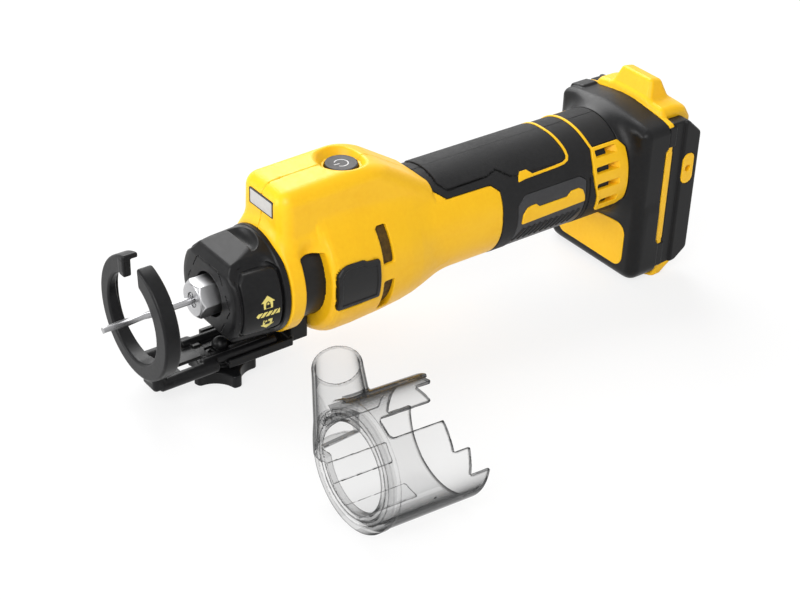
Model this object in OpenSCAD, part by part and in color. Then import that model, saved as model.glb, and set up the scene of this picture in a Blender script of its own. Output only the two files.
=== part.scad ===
// Cordless drywall cut out tool with depth guide and clear dust shroud.
// X runs along the spindle from the depth guide's front face to the battery foot, +Z is up.
// The origin is the point where the spindle axis meets the guide's front face. Sizes in millimetres.

/* [Lengths along the spindle] */
// From the guide's front face back to the collet nut
guide_reach = 34; // [30:1:40]
// Collet nut length in front of the lock sleeve
nut_show = 10; // [8:0.5:12]
// Lock sleeve length
sleeve_l = 31.6; // [28:0.2:36]
// Housing collar behind the lock sleeve
collar_l = 8.6; // [7:0.2:11]
// Gap in the housing that shows the nose drum
window_l = 12.4; // [11:0.2:16]
// Motor barrel, from the window to the grip
barrel_l = 76; // [74:1:84]
// Grip
handle_l = 132; // [126:1:145]
// Battery foot
foot_l = 52; // [50:1:58]

/* [Cutting bit and collet] */
// Cutting bit radius
bit_r = 1.6; // [1.2:0.1:1.7]
// Bit tip in front of the guide's face
bit_reach = 17.4; // [12:0.2:22]
// Length of the bit's bevelled tip
bit_point = 1.5; // [0.5:0.5:8]
// Radius of the bit's tip
bit_tip_r = 1; // [0.3:0.1:1.1]
// Collet nut width across flats
nut_af = 19; // [18:0.5:20]
// Spindle nose radius under the nut
nose_r = 7; // [6.6:0.1:7.4]
// Collet outside radius at its nose
collet_r = 3.8; // [3.2:0.1:4.2]

/* [Lock sleeve] */
// Sleeve radius at the front
sleeve_r = 27.6; // [26.5:0.1:28.2]
// Sleeve rear flange radius
flange_r = 30; // [29:0.1:30.5]
// Radius of the opening round the nut
sleeve_hole_r = 12.5; // [12:0.1:14]
// Radius of the finger flutes
flute_r = 9; // [7:0.5:10]
// Radius of the drum snout that the sleeve turns on
snout_r = 22; // [20:0.2:23]

/* [Barrel and head] */
// Collar radius
collar_r = 31; // [30:0.1:31.4]
// Barrel radius
barrel_r = 36.8; // [36:0.2:39]
// Housing wall
wall = 3; // [2.4:0.1:3.6]
// Height of the head above the spindle
head_top = 56.7; // [55:0.2:60]
// Half width of the head
head_w = 20.5; // [19.5:0.5:23]
// Corner radius along the head
head_round = 9; // [6:0.5:11]
// Power button radius
button_r = 8.9; // [8:0.1:9.5]
// Power button travel
button_travel = 1.5; // [1:0.1:2]
// Nose drum radius
drum_r = 27.5; // [26.5:0.1:28]

/* [Grip] */
// Grip radius
grip_r = 30; // [29:0.1:31]
// Rubber thickness of the grip
grip_t = 2; // [1.6:0.1:2.4]
// Height of the grip's axis above the spindle
grip_z = 5; // [4:0.2:6]
// Length of the yellow panel in front of the grip
panel_l = 42; // [36:1:50]

/* [Battery foot] */
// Half width of the foot
foot_w = 38; // [37:0.5:42]
// Height of the foot's top above the spindle
foot_top = 38; // [36.5:0.5:41]
// Depth of the foot's base below the spindle
foot_drop = 68; // [64:0.5:74]
// Thickness of the battery base plate
base_t = 3.5; // [3:0.1:4.5]
// Length of the battery rails
rail_l = 21.5; // [20:0.5:24]
// Thickness of the battery rails
rail_t = 8; // [7:0.5:10]
// Belt hook screw hole radius
hook_hole_r = 2; // [1.5:0.1:2.5]

/* [Depth guide] */
// Guide ring outside radius
ring_r = 33.8; // [32:0.2:36]
// Guide ring inside radius
ring_hole_r = 24.4; // [23:0.2:26]
// Guide ring thickness
ring_t = 9; // [7:0.5:11]
// Half width of the gap at the top of the ring
ring_gap = 7; // [5:0.5:9]
// Radius of the guide's rods
rod_r = 2.6; // [2.2:0.1:3]
// Radius of the guide's front arms
arm_r = 3.6; // [3:0.1:4.2]
// Half width between the rods
rod_y = 10.8; // [10:0.2:12]
// Height of the bracket plate below the spindle
track_z = -36.5; // [-38:0.1:-36]
// Bracket plate thickness
track_t = 3; // [2.4:0.1:4]
// Guide travel towards the tip
guide_out = 18; // [12:1:18]
// Guide travel towards the tool
guide_in = 6; // [3:0.5:6]
// Clamp bolt radius
bolt_r = 2.5; // [2:0.1:3]
// Clamp knob radius
knob_r = 19; // [16:0.5:21]
// Height of the knob's lobes
knob_h = 7.5; // [6:0.5:9]
// Lobes on the clamp knob
knob_lobes = 5; // [4:1:6]

/* [Dust shroud] */
// Shroud outside radius
shroud_r = 32.3; // [31.8:0.1:35]
// Shroud wall
shroud_wall = 2; // [1.6:0.1:2.4]
// Shroud length
shroud_l = 57; // [54:1:64]
// Radius of the shroud's front opening
shroud_hole_r = 22.5; // [20:0.5:24]
// Hose outlet outside radius
outlet_r = 12.2; // [11:0.1:13]

/* [Motor] */
// Stator outside radius
stator_r = 25; // [23:0.5:27]
// Stator length
stator_l = 30; // [26:1:32]
// Rotor radius
rotor_r = 13.5; // [12:0.5:14.5]
// Motor shaft radius
shaft_r = 4; // [3.5:0.1:4.5]
// Fan radius
fan_r = 23.5; // [20:0.5:24]
// Fan blades
fan_blades = 11; // [7:1:15]

/* [Clearances] */
// Running fit between turning parts, on the radius
run_gap = 0.05; // [0.02:0.01:0.09]
// Gap between seated pieces
seat_gap = 0.05; // [0.03:0.01:0.1]
// Gap between pieces that move past each other
move_gap = 0.35; // [0.3:0.05:0.5]

/* [Hidden] */
$fn = 96;
tiny = 0.01;
big = 400;
yellow = "#f5b71c";
black = "#2b2b2d";
dark = "#3a3a3c";
steel = "#c9ccd0";

// Stations along the spindle
x_nut = guide_reach;
x_sleeve = x_nut + nut_show;
x_collar = x_sleeve + sleeve_l + move_gap;
x_window = x_collar + collar_l;
x_barrel = x_window + window_l;
x_grip = x_barrel + barrel_l;
x_foot = x_grip + handle_l;
x_rear = x_foot + foot_l;
x_base = x_rear - rail_l - base_t;
x_rail = x_base + base_t;

// Nose and spindle
nut_l = nut_show + 4;
nut_lip = 3;
sleeve_wall = 10;
x_snout = x_sleeve + sleeve_wall + 1;
drum_tail = 3;
x_drum_end = x_barrel + drum_tail;
journal_r = 6;
front_race_r = 14;
front_race_w = 8;
x_front_race = x_collar + 8;
rear_race_r = 11;
rear_race_w = 7;
x_stator = x_drum_end + 12;
x_stator_end = x_stator + stator_l;
x_board = x_stator_end;
board_t = 1.6;
x_fan = x_stator_end + 5;
fan_w = 8;
x_rear_race = x_fan + fan_w + 3;
x_bulk_end = x_rear_race + rear_race_w + 1;
x_shaft_end = x_rear_race + rear_race_w;
air_gap = 0.7;
tooth_count = 6;
magnet_count = 8;
bit_tail = 24;
drum_bore_r = snout_r - 9;
shoulder = 2;

// Barrel, head and their cavities
taper_1 = [x_barrel + 0.25 * barrel_l, barrel_r];
taper_2 = [x_barrel + 0.53 * barrel_l, barrel_r - 1.1];
taper_3 = [x_barrel + 0.78 * barrel_l, barrel_r - 3];
taper_4 = [x_barrel + 0.93 * barrel_l, grip_r];
head_front = x_collar + 0.5;
head_nose_r = 8;
head_flat_end = x_barrel + 0.54 * barrel_l;
head_tail_z = grip_z + grip_r + 0.5;
window_top = 19.6;
cavity_r = barrel_r - wall - 0.8;
rib_w = 3;
x_cavity_end = x_rear_race - 1;
duct_z = fan_r + 3.5;
duct_w = 7;
core_r = grip_r - grip_t;
x_core = x_grip - 8;
x_core_end = x_foot + 7;
panel_r = grip_r - 0.2;
panel_top = grip_z + 19.3;

// Power button and switch
button_x = x_barrel + 29.5;
button_face = head_top - 3.3;
button_cap = 7.4;
stem_r = 3;
stem_l = 3;
dish_r = button_r + 5.4;
dish_floor = head_top - 5.2;
well_l = 3;
switch_top = button_face - button_cap - stem_l - button_travel - move_gap;
switch_size = [21, 16, 12];

// Work light
lens_w = 10.7;
lens_z = [40, 48.5];
lens_t = wall + 0.5;

// Pads, plates and vents on the sides
pad_x = [x_barrel + 3, x_barrel + 30.5];
pad_z = [-11.3, 12];
pad_face = barrel_r - 0.3;
pad_seat = barrel_r - 2.4;
pad_tab = 10;
pad_step = 1.6;
vent_x = [x_barrel + 34.2, x_barrel + 39.2];
vent_z = [[-23.5, -4], [6.5, 24.5]];
louvre_l = 18.5;
louvre_end = 0.5;
louvre_x = [x_foot - louvre_end - louvre_l, x_foot - louvre_end];
plate_front = 14;
plate_back = 8;
plate_x = [x_grip + panel_l + plate_front, louvre_x[0] - plate_back];
plate_z = [-4.3, 7.6];
plate_rise = 0.5;
louvre_z = [-14.3, 25.5];
louvre_slots = [23, 13.8, 3.2, -7.4];
louvre_slot_h = 3.4;
louvre_slot_l = 12;

// Housing screws, as places in the XZ plane
screw_places = [[x_window + 12, 46], [x_barrel + 9, -30.5], [x_core + 30, 20], [x_core + 30, -11],
                [x_foot - 44, 20], [x_foot - 44, -11]];
screw_r = 1.8;
screw_head_r = 3.2;
screw_head_y = [9, 12];
screw_tip = 10;
boss_r = 4.2;

// Foot
foot_front = x_foot + 9;
foot_round = 11;
foot_cheek = x_base - 4;
rail_top = foot_top - 4;
rail_foot = -(foot_drop - 7.5);
rail_slot_z = [-43, 17];
rail_lip = 5;
rail_lip_w = 4.5;
cap_z = 22;
cap_r = 130;
boss_w = 14.5;
boss_l = 13;
boss_z = foot_top + 14.5;
hook_x = x_rear - 8;
hook_z = 1.8;
hook_round = 4.4;
hook_l = 10.5;
hook_depth = 7;
label_t = 0.6;
label_w = 25.5;
label_z = [-58, -33];
label_bend = -32;
block_size = [14, 24, 30];
block_z = -28;
blade_count = 5;
blade_pitch = 4.4;
blade_t = 0.8;
foot_side = 12;
bay_w = foot_w - foot_side;
bay_round = 5;
controller_size = [12, 2 * (bay_w - bay_round), 54];
controller_z = -27;
sink_t = 3;
sink_cut = 1.2;
sink_grooves = 5;

// Depth guide and its clamp
slide_gap = 0.3;
rod_z = track_z + slide_gap + rod_r;
arm_y = rod_y + 2.2;
arm_z = rod_z - 1.6;
x_clamp = x_nut + 16;
x_track = x_clamp - 3.6;
x_track_end = x_window + 0.3;
track_w = 14;
x_arm_end = x_track - guide_in - move_gap;
x_rod_end = x_track_end - guide_in - 1.5;
guide_plate = [track_z + slide_gap, track_z + slide_gap + 1.8];
x_plate = x_clamp - guide_in - bolt_r - 1.5;
slot_w = bolt_r + 0.4;
x_slot_end = x_clamp + guide_out + bolt_r + 1;
ring_soft = 1.4;
foot_bar = [ring_soft / 2, ring_t];
riser_w = 14;
riser_x = [x_window + 0.8, x_barrel - 0.8];
bolt_head_r = 4.2;
bolt_head = [guide_plate[1] + slide_gap, guide_plate[1] + slide_gap + 3.2];
track_base = track_z - track_t;
knob_top = track_base - slide_gap;
knob_hub_h = 3.2;
knob_hub_r = 8;
knob_base = knob_top - knob_hub_h - knob_h;
knob_scoop_r = 11;

// Dust shroud, lying on the surface that the foot and the knob stand on
stand_x = x_base - 6;
shroud_tilt = atan((knob_base + foot_drop) / (stand_x - x_clamp));
shroud_at = [x_nut + 0.7, -142.8, -17.3];
shroud_bore = shroud_r - shroud_wall;
shroud_face = 4;
outlet_at = [13.5, 22.8, 0];
outlet_lean = 8.5;
outlet_l = 38;
outlet_bore = outlet_r - 1.6;
steps_x = [36.6, 45.7, 49.5];
notch_x = 8.6;
notch_angles = [54, 75];

// Shared shapes

// A cylinder along X from a to b
module rod_x(a, b, r, y = 0, z = 0) {
  translate([a, y, z]) rotate([0, 90, 0]) cylinder(h = b - a, r = r);
}

// A tube along X from a to b
module tube_x(a, b, r_out, r_in, y = 0, z = 0) {
  difference() {
    rod_x(a, b, r_out, y, z);
    rod_x(a - 1, b + 1, r_in, y, z);
  }
}

// A box given by its low and high corners
module box(low, high) {
  translate(low) cube(high - low);
}

// A solid turned round the spindle from points given as [x, radius]
module turned(points) {
  rotate([0, 90, 0]) rotate_extrude() polygon([for (p = points) [p[1], p[0]]]);
}

// A side outline in X and Z, drawn out to both sides
module side_outline(half) {
  rotate([90, 0, 0]) linear_extrude(2 * half, center = true) children();
}

// A cross section in Y and Z, drawn out from a to b
module section(a, b) {
  translate([a, 0, 0]) rotate([90, 0, 90]) linear_extrude(b - a) children();
}

// A rectangle with round corners, given by its low and high corners
module round_rect(low, high, r) {
  translate([low[0] + r, low[1]]) square([high[0] - low[0] - 2 * r, high[1] - low[1]]);
  translate([low[0], low[1] + r]) square([high[0] - low[0], high[1] - low[1] - 2 * r]);
  for (x = [low[0] + r, high[0] - r], y = [low[1] + r, high[1] - r]) translate([x, y]) circle(r);
}

// The half of a shape on one side of the parting plane: -1 is left, 1 is right
module half(side) {
  intersection() {
    children();
    translate([-big / 2, side < 0 ? -big / 2 : 0, -big / 2]) cube([3 * big, big / 2, big]);
  }
}

// The copy of a left piece for either side
module sided(side) {
  mirror([0, side < 0 ? 0 : 1, 0]) children();
}

// A ring band round the grip's axis, cut to a span of X and of Z, on the left side
module side_band(x, z, r_out, r_in) {
  intersection() {
    tube_x(x[0], x[1], r_out, r_in, 0, grip_z);
    box([x[0], -big, z[0]], [x[1], 0, z[1]]);
  }
}

// Housing

module barrel_form() {
  turned([[x_collar, 0], [x_collar, collar_r], [x_window + 1, collar_r], [x_window + 6, barrel_r],
          taper_1, taper_2, taper_3, taper_4, [x_grip + 4, core_r - grip_z], [x_grip + 4, 0]]);
}

module head_outline() {
  polygon([[head_front, grip_z], [head_front, head_top - head_nose_r], [head_front + head_nose_r, head_top],
           [head_flat_end, head_top], [x_grip, head_tail_z], [x_grip, grip_z]]);
  translate([head_front + head_nose_r, head_top - head_nose_r]) circle(head_nose_r);
}

module head_form() {
  intersection() {
    side_outline(head_w) head_outline();
    section(head_front, x_grip) round_rect([-head_w, -head_w], [head_w, head_top], head_round);
  }
}

module handle_core() {
  rod_x(x_core, x_core_end, core_r, 0, grip_z);
  intersection() {
    rod_x(x_core, x_grip + panel_l, panel_r, 0, grip_z);
    box([x_core, -big, -big], [x_grip + panel_l, big, panel_top]);
  }
}

module housing_cavity() {
  rod_x(x_collar - 1, x_drum_end, drum_r + seat_gap);
  difference() {
    rod_x(x_drum_end, x_cavity_end, cavity_r);
    for (x = [x_stator + 1, x_stator_end - rib_w - 1]) tube_x(x, x + rib_w, barrel_r, stator_r + seat_gap);
  }
  rod_x(x_cavity_end - 1, x_rear_race + rear_race_w, rear_race_r + seat_gap);
  rod_x(x_bulk_end, x_core_end + 1, core_r - wall, 0, grip_z);
  rod_x(x_bulk_end - 2, x_bulk_end + 1, rear_race_r - 2);
  box([x_board, -duct_w, duct_z - 2.5], [x_bulk_end + 4, duct_w, duct_z + 2.5]);
  difference() {
    box([head_front + lens_t, -head_w + wall, drum_r + 2.5],
        [button_x + switch_size[0] / 2 + 0.8, head_w - wall, head_top - wall]);
    for (x = [button_x - 7, button_x + 4], s = [-1, 1])
      translate([x, s * (switch_size[1] / 2 + seat_gap) + (s < 0 ? -head_w : 0), drum_r])
        cube([wall, head_w, switch_top - drum_r]);
  }
}

module housing_cuts() {
  box([x_window, -big, -big], [x_barrel, big, window_top]);
  for (s = [-1, 1], z = vent_z) {
    box([vent_x[0], s < 0 ? -big : cavity_r / 2, z[0]], [vent_x[1], s < 0 ? -cavity_r / 2 : big, z[1]]);
  }
  for (s = [-1, 1])
    box([pad_x[0] - seat_gap, s < 0 ? -big : pad_seat - seat_gap, pad_z[0] - seat_gap],
        [pad_x[1] + seat_gap, s < 0 ? -pad_seat + seat_gap : big, pad_z[1] + seat_gap]);
  translate([button_x, 0, dish_floor])
    cylinder(h = head_top - dish_floor + tiny, r1 = button_r + 1.5, r2 = dish_r);
  translate([button_x, 0, switch_top]) cylinder(h = head_top, r = button_r + move_gap);
  box([head_front - 1, -lens_w - seat_gap, lens_z[0] - seat_gap],
      [head_front + lens_t + 1, lens_w + seat_gap, lens_z[1] + seat_gap]);
  screw_holes();
}

// Wall that guides the power button
module button_well() {
  translate([button_x, 0, dish_floor - well_l]) cylinder(h = head_top - dish_floor + well_l, r = dish_r + 1);
}

module screw_bosses() {
  for (p = screw_places) translate([p[0], 0, p[1]]) rotate([90, 0, 0])
    cylinder(h = 80, r = boss_r, center = true);
}

module screw_holes() {
  for (p = screw_places) translate([p[0], 0, p[1]]) rotate([-90, 0, 0]) {
    translate([0, 0, -screw_tip - 1]) cylinder(h = screw_tip + screw_head_y[1], r = screw_r + seat_gap);
    translate([0, 0, screw_head_y[0] - seat_gap]) cylinder(h = big, r = screw_head_r + 0.2);
  }
}

module housing(side) {
  color(yellow) half(side) difference() {
    union() {
      difference() {
        housing_form();
        housing_cavity();
      }
      intersection() {
        union() {
          screw_bosses();
          button_well();
        }
        housing_form();
      }
    }
    housing_cuts();
  }
}

module housing_form() {
  barrel_form();
  head_form();
  handle_core();
}

module housing_left() housing(-1);
module housing_right() housing(1);

module grip(side) {
  color(black) half(side) difference() {
    tube_x(x_grip, x_foot, grip_r, core_r + seat_gap, 0, grip_z);
    box([x_core, -big, -big], [x_grip + panel_l + seat_gap, big, panel_top + seat_gap]);
    for (s = [-1, 1]) sided(s) {
      pocket(plate_x, plate_z);
      pocket(louvre_x, louvre_z);
    }
    turned([[x_core, 0], [x_core, grip_r + 1], taper_4, [x_grip + 4, core_r - grip_z + 0.1],
            [x_grip + 4, 0]]);
    head_form();
    screw_holes();
  }
}

// Opening in the grip for a panel on the left side
module pocket(x, z) {
  box([x[0] - seat_gap, -big, z[0] - seat_gap], [x[1] + seat_gap, 0, z[1] + seat_gap]);
}

module grip_left() grip(-1);
module grip_right() grip(1);

// Pads, plates and vents

module side_pad(side) {
  color(black) sided(side) intersection() {
    box([pad_x[0], -pad_face, pad_z[0]], [pad_x[1], -pad_seat, pad_z[1]]);
    rotate([90, 0, 0]) translate([0, 0, pad_seat]) linear_extrude(wall)
      polygon([[pad_x[0], pad_z[0]], [pad_x[1], pad_z[0]], [pad_x[1], pad_z[1] - pad_step],
               [pad_x[0] + pad_tab + pad_step, pad_z[1] - pad_step], [pad_x[0] + pad_tab, pad_z[1]],
               [pad_x[0], pad_z[1]]]);
  }
}

module side_pad_left() side_pad(-1);
module side_pad_right() side_pad(1);

module side_plate(side) {
  color(yellow) sided(side) side_band(plate_x, plate_z, grip_r + plate_rise, core_r + seat_gap);
}

module side_plate_left() side_plate(-1);
module side_plate_right() side_plate(1);

module vent_panel(side) {
  color(yellow) sided(side) difference() {
    side_band(louvre_x, louvre_z, grip_r + plate_rise, core_r + seat_gap);
    for (z = louvre_slots)
      box([louvre_x[0] + 1.2, -big, z - louvre_slot_h / 2],
          [louvre_x[0] + 1.2 + louvre_slot_l, 0, z + louvre_slot_h / 2]);
  }
}

module vent_panel_left() vent_panel(-1);
module vent_panel_right() vent_panel(1);

// Nose

module nose_drum() {
  color(black) difference() {
    union() {
      rod_x(x_collar, x_drum_end, drum_r);
      rod_x(x_snout, x_collar + 1, snout_r);
    }
    rod_x(x_snout - 1, x_front_race - shoulder, drum_bore_r);
    rod_x(x_snout, x_front_race + 1, front_race_r - 3);
    rod_x(x_front_race, x_drum_end + 1, front_race_r + seat_gap);
  }
}

module sleeve_form() {
  turned([[x_sleeve, 0], [x_sleeve, sleeve_r - 5], [x_sleeve + 1.2, sleeve_r - 2.2], [x_sleeve + 4, sleeve_r],
          [x_sleeve + 20, sleeve_r + 1.3], [x_sleeve + sleeve_l - 4, flange_r],
          [x_sleeve + sleeve_l, flange_r], [x_sleeve + sleeve_l, 0]]);
}

module lock_sleeve() {
  facet_slope = 14;
  facet_rise = sleeve_r - 5;
  color(black) difference() {
    sleeve_form();
    rod_x(x_sleeve - 1, x_sleeve + sleeve_l, sleeve_hole_r);
    rod_x(x_sleeve + sleeve_wall, x_sleeve + sleeve_l + 1, snout_r + run_gap);
    for (a = [45:90:315]) rotate([a, 0, 0])
      rod_x(x_sleeve - 1, x_sleeve + sleeve_l - 9, flute_r, 0, sleeve_r + flute_r - 3);
    for (a = [0, 180]) rotate([a, 0, 0])
      translate([x_sleeve + 4, -big / 2, facet_rise]) rotate([0, -facet_slope, 0])
        cube([sleeve_l - 13, big, 20]);
  }
}

module collet_nut() {
  color(steel) difference() {
    intersection() {
      translate([x_nut, 0, 0]) rotate([0, 90, 0]) cylinder(h = nut_l, r = nut_af / sqrt(3), $fn = 6);
      turned([[x_nut, 0], [x_nut, nut_af / 2 - 0.4], [x_nut + 1.2, nut_af / sqrt(3) + 0.1],
              [x_nut + nut_l, nut_af / sqrt(3) + 0.1], [x_nut + nut_l, 0]]);
    }
    rod_x(x_nut - 1, x_nut + nut_l + 1, collet_r + move_gap);
    rod_x(x_nut + nut_lip, x_nut + nut_l + 1, nose_r + run_gap);
  }
}

module collet() {
  color("silver") difference() {
    rod_x(x_nut + 0.4, x_nut + bit_tail + 4, collet_r);
    rod_x(x_nut, x_nut + bit_tail + 5, bit_r + run_gap);
    for (a = [0:60:120]) rotate([a, 0, 0])
      box([x_nut, -0.35, -collet_r - 1], [x_nut + nut_lip, 0.35, collet_r + 1]);
  }
}

module cutting_bit() {
  color(steel) difference() {
    union() {
      rod_x(-bit_reach + bit_point, x_nut + bit_tail, bit_r);
      turned([[-bit_reach, 0], [-bit_reach, bit_tip_r], [-bit_reach + bit_point, bit_r],
              [-bit_reach + bit_point + 1, bit_r], [-bit_reach + bit_point + 1, 0]]);
    }
    for (a = [0, 180]) rotate([a, 0, 0])
      rod_x(-bit_reach - 1, guide_reach * 0.3, bit_r / 2, 0, bit_r * 1.12);
  }
}

// Motor

module spindle_shaft() {
  color("gray") difference() {
    union() {
      rod_x(x_nut + nut_lip + move_gap, x_front_race - shoulder, nose_r);
      rod_x(x_front_race - shoulder - tiny, x_front_race + front_race_w + 3, journal_r);
      rod_x(x_front_race + front_race_w + 2, x_shaft_end, shaft_r);
    }
    rod_x(x_nut, x_nut + bit_tail + 4, collet_r + seat_gap);
  }
}

// A ball bearing as one ring with a groove on both faces
module bearing(x, w, r_out, r_in) {
  mid = (r_out + r_in) / 2;
  color("lightgray") difference() {
    tube_x(x, x + w, r_out, r_in);
    for (a = [x - 1, x + w - 0.8]) tube_x(a, a + 1.8, mid + 1.4, mid - 1.4);
  }
}

module front_bearing() bearing(x_front_race, front_race_w, front_race_r, journal_r + run_gap);
module rear_bearing() bearing(x_rear_race, rear_race_w, rear_race_r, shaft_r + run_gap);

module rotor_core() {
  color("dimgray") difference() {
    rod_x(x_stator - 1, x_stator_end + 1, rotor_r);
    rod_x(x_stator - 2, x_stator_end + 2, shaft_r + seat_gap);
    for (i = [0:magnet_count - 1]) rotate([i * 360 / magnet_count, 0, 0]) magnet_slot(seat_gap);
  }
}

// Space of one magnet, grown by a gap
module magnet_slot(gap) {
  box([x_stator + 1 - gap, -3 - gap, rotor_r - 4.5 - gap],
      [x_stator_end - 1 + gap, 3 + gap, rotor_r - 2.5 + gap]);
}

module rotor_magnets() {
  color("silver") for (i = [0:magnet_count - 1]) rotate([i * 360 / magnet_count, 0, 0]) magnet_slot(0);
}

module stator_core() {
  color("gray") difference() {
    rod_x(x_stator, x_stator_end, stator_r);
    rod_x(x_stator - 1, x_stator_end + 1, rotor_r + air_gap);
    for (i = [0:tooth_count - 1]) rotate([(i + 0.5) * 360 / tooth_count, 0, 0]) winding_slot();
  }
}

// Space between two stator teeth
module winding_slot() {
  box([x_stator - 1, -4.4, rotor_r], [x_stator_end + 1, 4.4, stator_r - 3]);
}

module stator_windings() {
  color("#b87333") for (i = [0:tooth_count - 1]) rotate([(i + 0.5) * 360 / tooth_count, 0, 0])
    box([x_stator - 3, -4.4 + seat_gap, rotor_r + air_gap + 1],
        [x_stator_end, 4.4 - seat_gap, stator_r - 3 - seat_gap]);
}

module sensor_board() {
  color("darkgreen") difference() {
    union() {
      rod_x(x_board, x_board + board_t, stator_r - 1);
      box([x_board, -duct_w + 0.5, 0], [x_board + board_t, duct_w - 0.5, duct_z + 1.8]);
    }
    rod_x(x_board - 1, x_board + board_t + 1, rotor_r + air_gap);
  }
}

module cooling_fan() {
  blade = fan_w - 2;
  color(dark) difference() {
    union() {
      rod_x(x_fan, x_fan + 2, fan_r);
      rod_x(x_fan, x_fan + fan_w, shaft_r + 4);
      for (i = [0:fan_blades - 1]) rotate([i * 360 / fan_blades, 0, 0])
        box([x_fan + 1, -0.7, shaft_r + 3], [x_fan + 2 + blade, 0.7, fan_r - 0.5]);
    }
    rod_x(x_fan - 1, x_fan + fan_w + 1, shaft_r + seat_gap);
  }
}

module motor_leads() {
  color("crimson") for (y = [-4, 0, 4])
    rod_x(x_board + board_t, x_base - sink_t - controller_size[0], 1.3, y, duct_z);
}

// Button and light

module power_button() {
  color(dark) difference() {
    translate([button_x, 0, button_face - button_cap]) {
      cylinder(h = button_cap - 0.8, r = button_r);
      translate([0, 0, button_cap - 0.8 - tiny]) cylinder(h = 0.8 + tiny, r1 = button_r, r2 = button_r - 0.8);
      translate([0, 0, -stem_l]) cylinder(h = stem_l + 1, r = stem_r);
    }
    translate([button_x, 0, button_face + 60 - 0.5]) sphere(60);
  }
}

module switch_module() {
  color(black) translate([button_x - switch_size[0] / 2, -switch_size[1] / 2, switch_top - switch_size[2]])
    cube(switch_size);
}

module light_lens() {
  color("whitesmoke") box([head_front, -lens_w, lens_z[0]], [head_front + lens_t, lens_w, lens_z[1]]);
}

module light_board() {
  color("darkgreen") box([head_front + lens_t, -lens_w + 1, lens_z[0] - 1],
                         [head_front + lens_t + board_t, lens_w - 1, lens_z[1] + 1]);
}

// Battery foot

module foot_side_outline() {
  polygon([[x_foot - 1, grip_z + grip_r], [x_foot + 12, grip_z + grip_r + 0.6], [x_base - 4, foot_top - 0.4],
           [x_base, foot_top], [x_base, -foot_drop + 0.6], [x_base - 4, -foot_drop],
           [foot_front + 4, -foot_drop + 1.5], [foot_front, -foot_drop + 5],
           [foot_front + 1.5, label_bend], [foot_front - 1.5, -27.5], [x_foot - 1, grip_z - grip_r]]);
}

module foot_form() {
  intersection() {
    side_outline(foot_w) foot_side_outline();
    linear_extrude(big, center = true)
      polygon([[x_foot - 1, -grip_r], [x_foot - 1, grip_r], [x_foot + 12, grip_r + 1.6],
               [foot_cheek, foot_w - 0.8], [x_base, foot_w], [x_base, -foot_w],
               [foot_cheek, -foot_w + 0.8], [x_foot + 12, -grip_r - 1.6]]);
    section(x_foot, x_base) round_rect([-foot_w, -foot_drop], [foot_w, foot_top], foot_round);
  }
}

module foot_shell() {
  color(black) difference() {
    foot_form();
    rod_x(x_foot - 1, x_core_end + seat_gap, core_r + seat_gap, 0, grip_z);
    section(x_core_end, x_base + 1) round_rect([-bay_w, -28], [bay_w, foot_top - 5], bay_round);
    section(foot_front + wall + 2, x_base + 1)
      round_rect([-bay_w, -foot_drop + 5], [bay_w, 0], bay_round);
  }
}

module rating_plate() {
  color(yellow) side_outline(label_w)
    polygon([for (z = [label_z[0], label_z[1]]) [label_face(z), z],
             for (z = [label_z[1], label_z[0]]) [label_face(z) - label_t, z]]);
}

// Place of the foot's front face at a height
function label_face(z) = foot_front + 1.5 * (z + foot_drop - 5) / (label_bend + foot_drop - 5);

module battery_base() {
  color(yellow) difference() {
    union() {
      section(x_base, x_rail) round_rect([-foot_w + 2, -foot_drop + 1], [foot_w - 2, foot_top], foot_round);
      intersection() {
        side_outline(foot_w - rail_t - seat_gap)
          polygon([[x_base, cap_z], [x_base, foot_top], [x_base + 12, foot_top - 1.5],
                   [x_rear, cap_z + 4], [x_rear, cap_z]]);
        section(x_base, x_rear) translate([0, foot_top - cap_r]) circle(cap_r);
      }
      side_outline(boss_w)
        polygon([[x_base, foot_top - 4], [x_base, boss_z - 2], [x_base + 2, boss_z],
                 [x_base + boss_l - 3, boss_z - 1.5], [x_base + boss_l + 2, foot_top - 6]]);
    }
    box([x_base - 1, -block_size[1] / 2 + 3, block_z + 3],
        [x_rail + 1, block_size[1] / 2 - 3, block_z + block_size[2] - 3]);
  }
}

module rail_outline() {
  polygon([[x_rail, rail_top], [x_rear - 11, rail_top], [x_rear, rail_top - 12], [x_rear, rail_foot + 14],
           [x_rear - 10, rail_foot], [x_rail, rail_foot - 2]]);
}

module battery_rail(side) {
  color(black) sided(side) difference() {
    union() {
      translate([0, -foot_w + rail_t, 0]) rotate([90, 0, 0]) linear_extrude(rail_t) rail_outline();
      box([x_rear - rail_lip, -foot_w + rail_t - 1, rail_foot + 14],
          [x_rear, -foot_w + rail_t + rail_lip_w, cap_z - 1]);
      for (z = [[rail_slot_z[1], rail_top - 3], [rail_foot, rail_slot_z[0]]])
        box([x_base, -foot_w, z[0]], [x_rail + 1, -foot_w + 2 - seat_gap, z[1]]);
    }
    hook_shape(seat_gap);
  }
}

module battery_rail_left() battery_rail(-1);
module battery_rail_right() battery_rail(1);

// Space of the left belt hook insert, grown by a gap
module hook_shape(gap) {
  translate([hook_x, -foot_w + hook_depth + gap, hook_z]) rotate([90, 0, 0])
    linear_extrude(hook_depth + 0.4 + gap) {
    for (z = [-1, 1]) translate([0, z * hook_l / 2]) circle(hook_round + gap);
    square([2 * (hook_round + gap), hook_l], center = true);
  }
}

module hook_insert(side) {
  color(yellow) sided(side) difference() {
    hook_shape(0);
    translate([hook_x, -foot_w + hook_depth - 1, hook_z]) rotate([90, 0, 0])
      cylinder(h = hook_depth + 2, r = hook_hole_r);
  }
}

module hook_insert_left() hook_insert(-1);
module hook_insert_right() hook_insert(1);

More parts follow.
